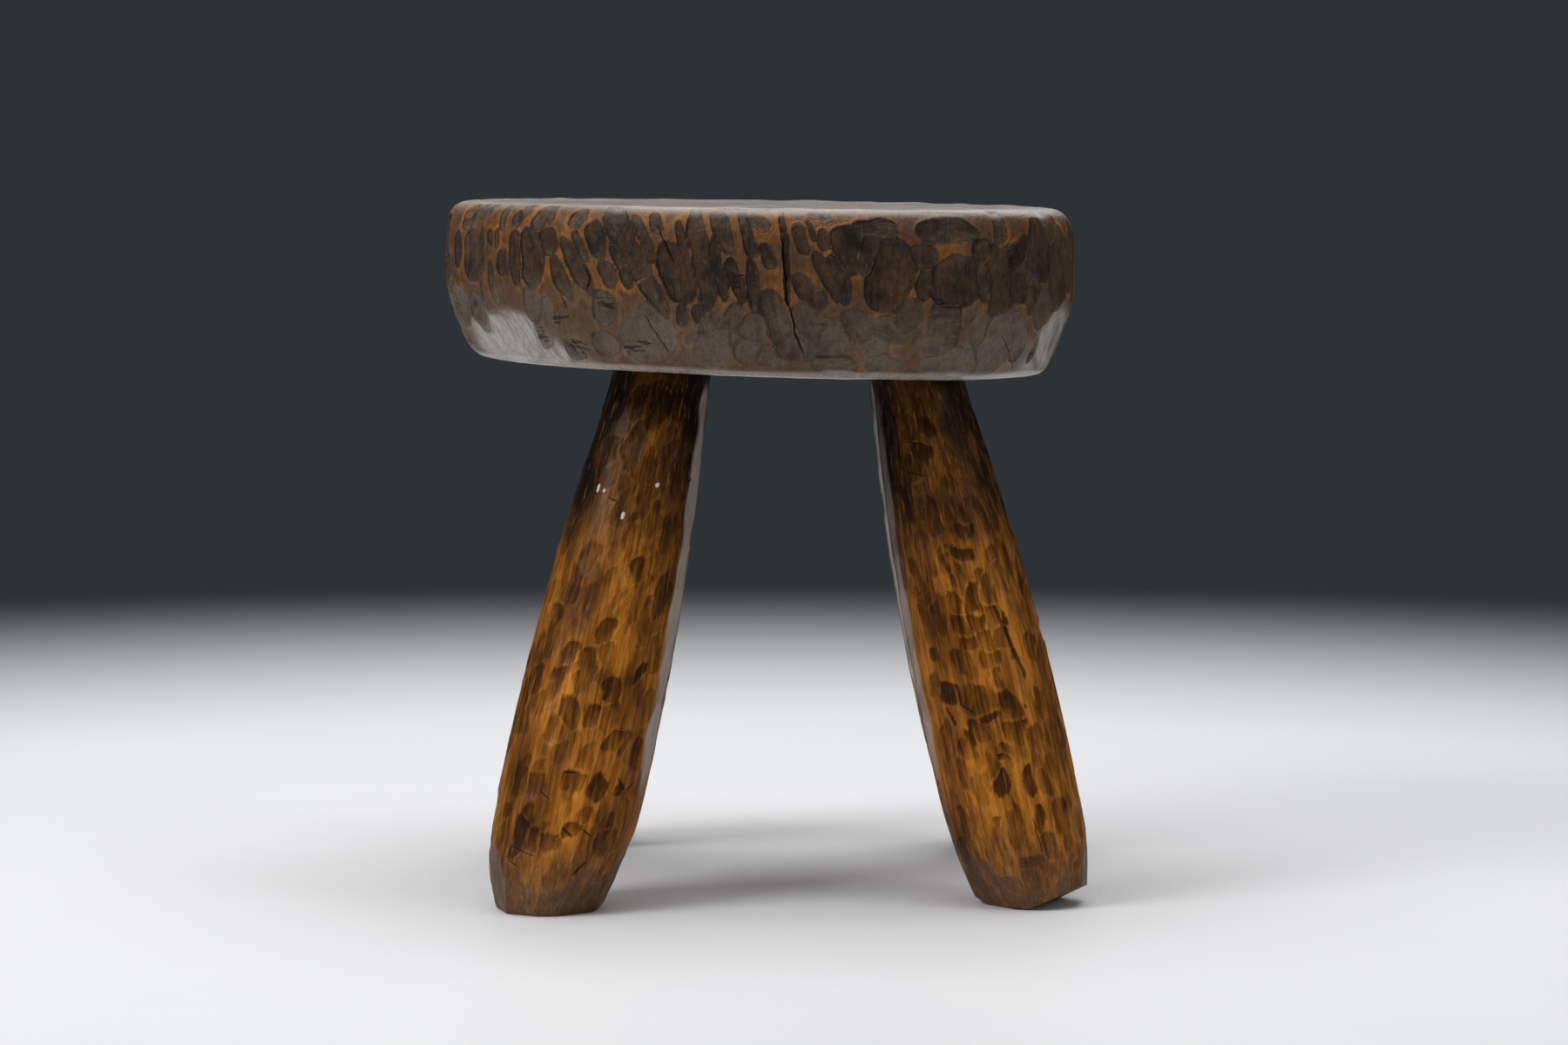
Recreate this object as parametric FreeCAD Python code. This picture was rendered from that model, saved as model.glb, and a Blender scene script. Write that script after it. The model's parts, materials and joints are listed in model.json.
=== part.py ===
"""Hand-carved stool: a thick round slab seat on four splayed club legs.

Each leg carries a round tenon that goes up into a blind mortise in the underside of the seat.
A wedge in the tenon's end, driven home by the mortise floor, spreads the tenon and locks the leg.
Millimetres and degrees, +Z up, origin on the floor under the middle of the stool, front towards -Y.
"""
import FreeCAD, Part

import math
import os

# Seat slab
seat_width = 355.0
seat_depth = 346.0
seat_height = 380.0
seat_thickness = 92.0
seat_top_fall = 0.8
seat_underside_fall = 2.0
top_round_width = 20.0
top_round_height = 17.0
under_chamfer_width = 22.0
under_chamfer_height = 46.0
seat_centre_x = -2.0

# Leg pattern: how far in from the slab's widest outline the necks and feet are set, to their middles
leg_shift_x = 17.5
neck_inset_x = 107.5
neck_inset_y = 105.0
foot_inset_x = 45.0
foot_inset_y = 53.0

# Legs
belly_diameter = 80.0
belly_height = 85.0
neck_diameter = 52.0
foot_diameter = 61.0

# How sharply a leg draws in from its belly, towards the foot and towards the neck
foot_draw_power = 3
neck_draw_power = 2

# Joints between legs and seat
tenon_diameter = 36.0
tenon_length = 58.0
mortise_clearance = 0.15
wedge_length = 40.0
wedge_thickness = 6.0
wedge_tip_thickness = 1.5
wedge_stand = 3.0
wedge_clearance = 0.1
kerf_overrun = 4.0

# Room by which a cutting shape passes the piece that it cuts
cut_overrun = 30.0

# The slab's outline, going round from +X: each point's reach as a share of the slab's half size there
outline_shares = [1.0, 0.992, 0.985, 0.997, 0.99, 0.982, 0.996, 1.0]
outline_shares += [0.996, 0.994, 1.0, 0.99, 0.996, 0.988, 0.996, 0.99]

# The slab's side, from the underside up: height and inset as shares of the chamfer's own sizes
chamfer_shares = [(0.0, 1.0), (0.12, 0.66), (0.5, 0.24), (1.0, 0.02)]

# The rounded shoulder, from its lower end up: height and inset as shares of its own sizes
shoulder_shares = [(0.0, 0.05), (0.55, 0.2), (0.87, 0.48), (1.0, 1.0)]

# Heights of the legs' sections as shares of the leg, from the floor to the shoulder under the seat
leg_section_shares = [0.0, 0.04, 0.1, 0.2, 0.3, 0.45, 0.6, 0.75, 0.9]

# Wedge blade width as a share of the tenon's diameter
wedge_width_share = 0.88

# Each leg: side, front or rear, how far its foot stands out front to rear, and its own stoutness, as shares
legs = {
    "front_left": {"side": -1, "end": -1, "foot_reach_share": 1.08, "stout_share": 1.02},
    "front_right": {"side": 1, "end": -1, "foot_reach_share": 0.9, "stout_share": 0.98},
    "rear_left": {"side": -1, "end": 1, "foot_reach_share": 1.05, "stout_share": 0.97},
    "rear_right": {"side": 1, "end": 1, "foot_reach_share": 0.96, "stout_share": 1.0},
}

UP = FreeCAD.Vector(0, 0, 1)


def top_level(x):
    """Height of the seat's top above the floor, x from the seat's middle: it falls towards +X."""
    return seat_height - x * math.tan(math.radians(seat_top_fall))


def underside_level(x):
    """Height of the seat's underside above the floor, x from the seat's middle: it falls towards +X."""
    return seat_height - seat_thickness - x * math.tan(math.radians(seat_underside_fall))


def seat_ring(rise, inset, from_top):
    """One closed outline of the slab, drawn in by inset and parallel to its top or its underside."""
    points = []
    for step, reach in enumerate(outline_shares):
        angle = 2 * math.pi * step / len(outline_shares)
        x = (reach * seat_width / 2 - inset) * math.cos(angle)
        y = (reach * seat_depth / 2 - inset) * math.sin(angle)
        level = top_level(x) - rise if from_top else underside_level(x) + rise
        points.append(FreeCAD.Vector(seat_centre_x + x, y, level))
    curve = Part.BSplineCurve()
    curve.interpolate(Points=points, PeriodicFlag=True)
    return Part.Wire(curve.toShape())


def seat_blank():
    """The slab before its mortises: chamfered below, nearly upright at the side, rounded at the shoulder."""
    rings = []
    for height, inset in chamfer_shares:
        rings.append(seat_ring(height * under_chamfer_height, inset * under_chamfer_width, False))
    for height, inset in shoulder_shares:
        rings.append(seat_ring((1 - height) * top_round_height, inset * top_round_width, True))
    return Part.makeLoft(rings, True, False)


def leg_ends(leg):
    """Middle of a leg at the floor, and where its axis meets the seat's underside."""
    middle = seat_centre_x + leg_shift_x
    foot = FreeCAD.Vector(
        middle + leg["side"] * (seat_width / 2 - foot_inset_x),
        leg["end"] * leg["foot_reach_share"] * (seat_depth / 2 - foot_inset_y),
        0,
    )
    neck_x = middle + leg["side"] * (seat_width / 2 - neck_inset_x)
    neck = FreeCAD.Vector(
        neck_x,
        leg["end"] * (seat_depth / 2 - neck_inset_y),
        underside_level(neck_x - seat_centre_x),
    )
    return foot, neck


def leg_radius(height, leg_height, stout_share):
    """Half width of a leg at a height: widest at the belly, drawn in to the foot and up to the neck."""
    if height < belly_height:
        end_diameter = foot_diameter
        drawn_share = ((belly_height - height) / belly_height) ** foot_draw_power
    else:
        end_diameter = neck_diameter
        drawn_share = ((height - belly_height) / (leg_height - belly_height)) ** neck_draw_power
    return stout_share * (belly_diameter - (belly_diameter - end_diameter) * drawn_share) / 2


def underside_trim():
    """A block that fills all the space above the seat's underside plane."""
    reach = seat_width + cut_overrun
    block = Part.makeBox(2 * reach, 2 * reach, seat_height, FreeCAD.Vector(-reach, -reach, 0))
    block.rotate(FreeCAD.Vector(0, 0, 0), FreeCAD.Vector(0, 1, 0), seat_underside_fall)
    block.translate(FreeCAD.Vector(seat_centre_x, 0, underside_level(0)))
    return block


def on_leg_axis(shape, leg):
    """Stands a shape, made upright about the Z axis from Z 0, on a leg's axis at the seat's underside."""
    foot, neck = leg_ends(leg)
    turn = FreeCAD.Rotation(UP, neck - foot)
    placed = shape.copy()
    placed.Placement = FreeCAD.Placement(neck, turn)
    return placed


def tapered_blade(width, bottom, top, bottom_thickness, top_thickness):
    """A flat blade across X from one height to another, its thickness along Y growing upwards."""
    corners = [
        FreeCAD.Vector(-width / 2, -bottom_thickness / 2, bottom),
        FreeCAD.Vector(-width / 2, bottom_thickness / 2, bottom),
        FreeCAD.Vector(-width / 2, top_thickness / 2, top),
        FreeCAD.Vector(-width / 2, -top_thickness / 2, top),
    ]
    face = Part.Face(Part.makePolygon(corners + corners[:1]))
    return face.extrude(FreeCAD.Vector(width, 0, 0))


def wedge_blade():
    """The wedge, upright: its tip down in the tenon and its back against the mortise floor."""
    back = tenon_length + wedge_stand
    width = wedge_width_share * tenon_diameter
    return tapered_blade(width, back - wedge_length, back, wedge_tip_thickness, wedge_thickness)


def kerf_cutter():
    """The opened saw kerf in the tenon's end, clear of the wedge and a little deeper than its tip."""
    back = tenon_length + wedge_stand
    tip = back - wedge_length
    growth = (wedge_thickness - wedge_tip_thickness) / wedge_length
    root = tip - kerf_overrun
    return tapered_blade(
        tenon_diameter + cut_overrun,
        root,
        back,
        wedge_tip_thickness - growth * kerf_overrun + 2 * wedge_clearance,
        wedge_thickness + 2 * wedge_clearance,
    )


def build_leg(leg):
    """One club leg: body lofted from floor to shoulder, tenon above it, kerf sawn in the tenon's end."""
    foot, neck = leg_ends(leg)
    sections = []
    for share in leg_section_shares:
        middle = foot + (neck - foot) * share
        radius = leg_radius(middle.z, neck.z, leg["stout_share"])
        sections.append(Part.Wire(Part.makeCircle(radius, middle, UP)))
    shoulder = leg["stout_share"] * neck_diameter / 2
    above = neck + (neck - foot) * (shoulder / neck.z)
    sections.append(Part.Wire(Part.makeCircle(shoulder, neck, UP)))
    sections.append(Part.Wire(Part.makeCircle(shoulder, above, UP)))
    body = Part.makeLoft(sections, True, False).cut(underside_trim())
    sunk = neck_diameter / 2
    tenon = Part.makeCylinder(tenon_diameter / 2, tenon_length + sunk, FreeCAD.Vector(0, 0, -sunk))
    whole = body.fuse(on_leg_axis(tenon, leg)).removeSplitter()
    return whole.cut(on_leg_axis(kerf_cutter(), leg))


def build_seat():
    """The slab with a blind mortise for each leg."""
    seat = seat_blank()
    bore = tenon_diameter / 2 + mortise_clearance
    depth = tenon_length + wedge_stand
    for leg in legs.values():
        mortise = Part.makeCylinder(bore, depth + cut_overrun, FreeCAD.Vector(0, 0, -cut_overrun))
        seat = seat.cut(on_leg_axis(mortise, leg))
    return seat


def export(shape, name):
    """Writes one piece to its own file and prints what it measures."""
    solid = shape.Solids[0] if len(shape.Solids) == 1 else shape
    box = solid.BoundBox
    solid.exportStep(os.path.join("parts", name + ".step"))
    size = f"{box.XLength:.1f} x {box.YLength:.1f} x {box.ZLength:.1f}"
    print(f"{name}: {len(shape.Solids)} solid, valid {solid.isValid()}, {size}, volume {solid.Volume:.0f}")


def main():
    """Builds and writes every piece of the stool."""
    os.makedirs("parts", exist_ok=True)
    export(build_seat(), "seat")
    for name, leg in legs.items():
        export(build_leg(leg), "leg_" + name)
        export(on_leg_axis(wedge_blade(), leg), "wedge_" + name)


main()
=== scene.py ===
"""Carved log stool: a hewn slab seat on four splayed club legs.

Everything is in metres, +Z up, with the front towards -Y.
Tables of tool marks are in degrees and millimetres.
"""
import json
import logging
import math
from dataclasses import dataclass
from enum import Enum

import bmesh
import bpy
import numpy as np
from mathutils import Matrix, Vector


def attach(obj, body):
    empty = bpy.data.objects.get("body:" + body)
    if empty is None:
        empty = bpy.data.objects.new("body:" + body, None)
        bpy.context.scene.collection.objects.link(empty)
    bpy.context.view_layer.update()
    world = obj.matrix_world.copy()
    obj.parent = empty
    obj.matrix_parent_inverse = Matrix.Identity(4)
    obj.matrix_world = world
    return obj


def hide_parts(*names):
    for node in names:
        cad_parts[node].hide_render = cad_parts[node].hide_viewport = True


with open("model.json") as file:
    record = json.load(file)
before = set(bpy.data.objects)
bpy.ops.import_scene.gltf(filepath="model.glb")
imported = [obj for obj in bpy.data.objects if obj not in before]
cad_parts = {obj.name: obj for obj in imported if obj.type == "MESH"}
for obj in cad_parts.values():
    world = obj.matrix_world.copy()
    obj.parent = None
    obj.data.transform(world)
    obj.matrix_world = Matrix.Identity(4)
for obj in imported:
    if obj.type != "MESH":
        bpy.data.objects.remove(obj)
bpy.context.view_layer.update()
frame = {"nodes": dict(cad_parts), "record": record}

MM = 0.001
FULL_TURN = 2 * math.pi
WELD = 1e-6
TOUCHING = 1e-5
RING_CUTS = 10
NEAR_CRACK = 1.8 * MM
CRACK_CUTS = 3
BODY = "root"
LOG = logging.getLogger("stool")

Array = np.ndarray
Mesh = bpy.types.Mesh
Socket = bpy.types.NodeSocket
Colour = tuple[float, float, float, float]
Span = tuple[float, float]


class Slot(Enum):
    """The record's material slots."""

    SEAT = "seat_wood"
    LEG = "leg_wood"
    WEDGE = "wedge_wood"


def tint(red: int, green: int, blue: int) -> Colour:
    """A colour as seen on a screen, 0 to 255 a channel, made linear."""
    channels = [c / 255 for c in (red, green, blue)]
    linear = [c / 12.92 if c <= 0.04045 else ((c + 0.055) / 1.055) ** 2.4 for c in channels]
    return (*linear, 1.0)


def ease(values: Array, low: float, high: float) -> Array:
    """Smooth step from 0 at low to 1 at high; low may lie above high."""
    share = np.clip((values - low) / (high - low), 0, 1)
    return share * share * (3 - 2 * share)


def wrapped(angle: Array) -> Array:
    """Angles in radians brought to within half a turn of 0."""
    return (angle + math.pi) % FULL_TURN - math.pi


def way_out(angle: float) -> Array:
    """The level way out from an axis, at an angle in radians from the front."""
    return np.array([math.sin(angle), -math.cos(angle), 0.0])


def rows_of(kind: type, rows: tuple[tuple, ...]) -> tuple:
    """Makes one thing of a kind from each row of a table."""
    return tuple(kind(*row) for row in rows)


class Value:
    """A number socket of a shader tree, so that shader maths reads as plain sums."""

    def __init__(self, paint: "Nodes", socket: Socket) -> None:
        """Wraps one output socket."""
        self.paint = paint
        self.socket = socket

    def _math(self, operation: str, first: "Value | float", second: "Value | float") -> "Value":
        """Adds one Math node."""
        made = self.paint.node("ShaderNodeMath", {"operation": operation}, {0: first, 1: second})
        return Value(self.paint, made.outputs[0])

    def __add__(self, other: "Value | float") -> "Value":
        """Sum."""
        return self._math("ADD", self, other)

    def __sub__(self, other: "Value | float") -> "Value":
        """Difference."""
        return self._math("SUBTRACT", self, other)

    def __rsub__(self, other: float) -> "Value":
        """Difference from a number."""
        return self._math("SUBTRACT", other, self)

    def __mul__(self, other: "Value | float") -> "Value":
        """Product."""
        return self._math("MULTIPLY", self, other)

    __radd__ = __add__
    __rmul__ = __mul__

    def least(self, other: "Value | float") -> "Value":
        """The lesser of two."""
        return self._math("MINIMUM", self, other)

    def most(self, other: "Value | float") -> "Value":
        """The greater of two."""
        return self._math("MAXIMUM", self, other)

    def size(self) -> "Value":
        """The value without its sign."""
        return self._math("ABSOLUTE", self, 0.0)

    def sine(self) -> "Value":
        """The value's sine."""
        return self._math("SINE", self, 0.0)

    def step(self, low: float, high: float) -> "Value":
        """Smooth step from 0 at low to 1 at high."""
        sockets = {"Value": self, "From Min": low, "From Max": high}
        made = self.paint.node("ShaderNodeMapRange", {"interpolation_type": "SMOOTHSTEP"}, sockets)
        return Value(self.paint, made.outputs[0])


class Nodes:
    """Fills one node tree."""

    def __init__(self, tree: bpy.types.NodeTree) -> None:
        """Starts with an empty tree."""
        self.tree = tree
        self.tree.nodes.clear()

    def node(self, kind: str, settings: dict | None = None, sockets: dict | None = None) -> bpy.types.Node:
        """Adds one node.

        Args:
            kind: The node's type.
            settings: Its properties, set first.
            sockets: Values or links by input name or number.

        Returns:
            The node.
        """
        made = self.tree.nodes.new(kind)
        for key, setting in (settings or {}).items():
            setattr(made, key, setting)
        for key, given in (sockets or {}).items():
            if isinstance(key, int):
                target = made.inputs[key]
            else:
                target = next(s for s in made.inputs if s.name == key and s.enabled)
            if isinstance(given, Value):
                given = given.socket
            if isinstance(given, Socket):
                self.tree.links.new(given, target)
            else:
                target.default_value = given
        return made

    def length(self, vector: Socket) -> Value:
        """The length of a vector."""
        made = self.node("ShaderNodeVectorMath", {"operation": "LENGTH"}, {0: vector})
        return Value(self, made.outputs["Value"])


@dataclass(frozen=True)
class Grain:
    """Fractal noise: the size of its blotches in metres, for all axes or each, and how it is layered."""

    size: float | tuple[float, float, float]
    detail: float = 3.0
    roughness: float = 0.55
    distortion: float = 0.0


class Paint(Nodes):
    """Builds one node material."""

    def __init__(self, name: str) -> None:
        """Starts an empty material."""
        self.material = bpy.data.materials.new(name)
        self.material.use_nodes = True
        super().__init__(self.material.node_tree)

    def place(self) -> Socket:
        """The piece's own coordinates, in metres."""
        return self.node("ShaderNodeTexCoord").outputs["Object"]

    def marks(self, *names: str) -> list[Value]:
        """Numbers kept on the piece's points."""
        made = [self.node("ShaderNodeAttribute", {"attribute_name": name}) for name in names]
        return [Value(self, node.outputs["Fac"]) for node in made]

    def along(self, name: str) -> Socket:
        """A place along and across the grain or a tool's track, kept on the piece's points."""
        return self.node("ShaderNodeAttribute", {"attribute_name": name}).outputs["Vector"]

    def scaled(self, vector: Socket, scale: tuple[float, ...]) -> Socket:
        """Coordinates times a number along each axis."""
        sockets = {"Vector": vector, "Scale": scale}
        return self.node("ShaderNodeMapping", {"vector_type": "POINT"}, sockets).outputs[0]

    def rings(self, vector: Socket, width: float, wobble: Value, cone: float = 0.04) -> Value:
        """Growth rings about the Z axis, 0 to 1, as a cut across them shows them.

        Args:
            vector: Where they are read.
            width: From ring to ring in metres.
            wobble: What pushes them about, in rings.
            cone: How much they close in with height.

        Returns:
            The rings.
        """
        away = self.length(self.scaled(vector, (1, 1, cone)))
        return ((away * (1 / width) + wobble) * FULL_TURN).sine() * 0.5 + 0.5

    def noise(self, vector: Socket, *grains: Grain) -> list[Value]:
        """Fractal noises about 0.5.

        Args:
            vector: Where they are read.
            grains: What they are like.

        Returns:
            One noise for each.
        """
        made = []
        for grain in grains:
            sizes = grain.size if isinstance(grain.size, tuple) else (grain.size,) * 3
            sockets = {
                "Vector": self.scaled(vector, tuple(1 / size for size in sizes)),
                "Scale": 1.0,
                "Detail": grain.detail,
                "Roughness": grain.roughness,
                "Distortion": grain.distortion,
            }
            made.append(Value(self, self.node("ShaderNodeTexNoise", {}, sockets).outputs[0]))
        return made

    def mix(
        self, share: Value | float, first: Socket | Colour, second: Socket | Colour, blend: str = "MIX"
    ) -> Socket:
        """Mixes two colours.

        Args:
            share: How much of the second.
            first: The colour beneath.
            second: The colour laid on.
            blend: The way of mixing.

        Returns:
            The mixed colour.
        """
        made = self.node(
            "ShaderNodeMix",
            {"data_type": "RGBA", "blend_type": blend, "clamp_factor": True},
            {"Factor": share, "A": first, "B": second},
        )
        return next(s for s in made.outputs if s.enabled)

    def layers(self, colour: Socket | Colour, *coats: tuple[Value, Socket | Colour]) -> Socket:
        """Lays coats over a colour, one after another.

        Args:
            colour: The colour beneath.
            coats: Each coat's share and its colour.

        Returns:
            The colour on top.
        """
        for share, coat in coats:
            colour = self.mix(share, colour, coat)
        return colour

    def bump(self, height: Value, depth: float, strength: float) -> Socket:
        """A bumped normal from a height of 0 to 1 and a depth in metres."""
        made = self.node("ShaderNodeBump", {}, {"Strength": strength, "Distance": depth, "Height": height})
        return made.outputs[0]

    def surface(self, sockets: dict) -> bpy.types.Material:
        """Ends the material with one shader, given its values and links."""
        shader = self.node("ShaderNodeBsdfPrincipled", {}, sockets)
        self.node("ShaderNodeOutputMaterial", {}, {"Surface": shader.outputs[0]})
        return self.material


@dataclass(frozen=True)
class SeatFinish:
    """Waxed dark slab: orange ridges, grey-brown hollows and a worn lip, with painted sheen on the lip,
    painted floor reflection on the lower band, lower edge and hewn flats, and painted shade in the hollows.
    """

    ridge: Colour = tint(182, 113, 28)
    ridge_shade: Colour = tint(88, 62, 40)
    # Ridges on the lower band: paler and greyer as a painted reflection of the floor; also the grey-brown
    # tone of the left end
    ridge_tone_and_sheen: Colour = tint(144, 113, 80)
    hollow: Colour = tint(74, 55, 39)
    # Hollows on the lower band: paler and greyer as a painted reflection of the floor; also the tone of the
    # left end
    hollow_tone_and_sheen: Colour = tint(99, 88, 76)
    hollow_deep: Colour = tint(24, 18, 12)
    # Pale grey-brown of the worn lip, also used for pale specks; on the lip it is partly wear and partly a
    # painted sheen
    lip: Colour = tint(166, 158, 150)
    # Pale grey of the down-facing hewn flats: a painted reflection of the floor
    hewn: Colour = tint(178, 172, 165)
    # Near black: cracks, pores and torn fibres, and also the painted shadow along each hollow's upper left
    # side
    crack: Colour = tint(16, 12, 9)
    ragged: Grain = Grain(0.005, 5.0, 0.7)
    tight: Grain = Grain(0.04, 2.0)
    blotch: Grain = Grain(0.024, 4.0)
    mottle: Grain = Grain(0.008, 5.0, 0.7)
    fibre: Grain = Grain((0.0011, 0.0011, 0.03))
    dash: Grain = Grain((0.008, 0.008, 0.0016), 3.0, 0.6)
    grit: Grain = Grain((0.0026, 0.0026, 0.0044), 3.0, 0.75)
    streak: Grain = Grain((0.02, 0.0011, 1.0), 3.0, 0.6)
    groove: Grain = Grain((0.03, 0.004, 1.0), 3.0, 0.6)
    chatter: Grain = Grain((0.0024, 0.02, 1.0), 2.0)
    ring_width: float = 0.0034
    relief_depth: float = 0.0013
    relief_strength: float = 0.85
    smoothest: float = 0.16
    coat_roughness: float = 0.22
    gloss: float = 0.25

    def make(self) -> bpy.types.Material:
        """The slab's material."""
        paint = Paint(Slot.SEAT.value)
        place = paint.place()
        cut, stain, shadow_side, worn, low = paint.marks("cut", "stain", "shadow_side", "worn", "low")
        split, torn, flat, plain = paint.marks("split", "torn", "flat", "plain")
        ragged, tight, blotch, mottle = paint.noise(place, self.ragged, self.tight, self.blotch, self.mottle)
        fibre, dash, grit = paint.noise(place, self.fibre, self.dash, self.grit)
        streak, groove, chatter = paint.noise(paint.along("track"), self.streak, self.groove, self.chatter)
        wobble = (tight - 0.5) * 5.0 + (blotch - 0.5) * 2.0 + (mottle - 0.5) * 0.8
        rings = paint.rings(place, self.ring_width, wobble)

        # Where the tool went: cut is the distance inside a cut's edge in millimetres
        inside = (cut + (ragged - 0.5) * 2.6 + (tight - 0.5) * 2.6).step(0.0, 0.8)
        tool = inside.most(flat) * (1.0 - plain)
        # Painted shadow: a dark band just inside each cut on its upper left side, where its wall would be in
        # shade
        crease_shadow = cut.step(2.6, 1.0) * cut.step(0.1, 1.0) * shadow_side.step(0.05, 0.4)
        crest = cut.size().step(1.0, 0.0)
        bare = (cut + (mottle - 0.5) * 5.0).step(-0.5, -3.2)

        # low: painted reflection of the floor on the lower band, and a greyer tone at the left end
        ground = paint.layers(
            self.ridge,
            (low, self.ridge_tone_and_sheen),
            (bare * 0.8, self.ridge_shade),
            (blotch.step(0.3, 0.62) * 0.8, self.ridge_shade),
            ((fibre - 0.35) * 1.4, self.ridge_shade),
            ((mottle - 0.38) * 1.7, self.ridge_shade),
        )
        dull = stain + (blotch - 0.5) * 0.9 + (mottle - 0.5) * 0.7
        dull = dull + ((streak - 0.5) * 0.7 + (groove - 0.5) * 0.6) * tool
        dull = dull + (rings - 0.5) * (0.14 + plain * 0.4)
        # Hollows paler and greyer on the lower band: painted floor reflection, and the left end's tone
        hollow = paint.layers(self.hollow, (low, self.hollow_tone_and_sheen), (dull.step(0.3, 1.05), self.hollow_deep))
        rubbed = 0.4 + mottle * 0.8 + ((streak - 0.5) * 0.6 + (groove - 0.5) * 1.4) * tool
        rubbed = rubbed + (grit - 0.5) * 1.1
        colour = paint.layers(
            ground,
            # Lighter hollows on the lower band are part of the painted floor reflection
            (inside * (0.72 + mottle * 0.42) * (1.0 - low * 0.22), hollow),
            ((grit - 0.5) * 2.2, self.crack),
            ((0.44 - grit) * 0.8, self.lip),
            # The lip: paler partly by real wear and partly by painted sheen
            (worn * rubbed, self.lip),
            # Painted floor reflection on the hewn flats, streaked along the tool's track
            (flat * (rubbed * 1.5 - 0.3 + (streak - 0.5) * 1.8), self.hewn),
            # Painted shadow along each hollow's upper left side
            (crease_shadow * (0.42 + mottle) * (1.0 - low * 0.6), self.crack),
            ((torn * 0.5 + dash).step(0.97, 1.07) * 0.9, self.crack),
            (split.step(0.3, 0.7), self.crack),
        )
        rough = 0.42 + inside * 0.06 - worn * 0.14 + (mottle - 0.5) * 0.35
        relief = fibre * 0.45 + mottle * 0.6 + ragged * 0.4 + crest * 0.4 + rings * 0.06 + grit * 0.3
        relief = relief + (streak * 0.5 + chatter * 0.3 + groove * 0.45) * tool
        return paint.surface(
            {
                "Base Color": colour,
                "Roughness": rough.most(self.smoothest),
                "Normal": paint.bump(relief, self.relief_depth, self.relief_strength),
                "Coat Weight": 0.04 + worn * 0.18 + flat * 0.3,
                "Coat Roughness": self.coat_roughness,
                "Specular IOR Level": self.gloss,
            }
        )


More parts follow.
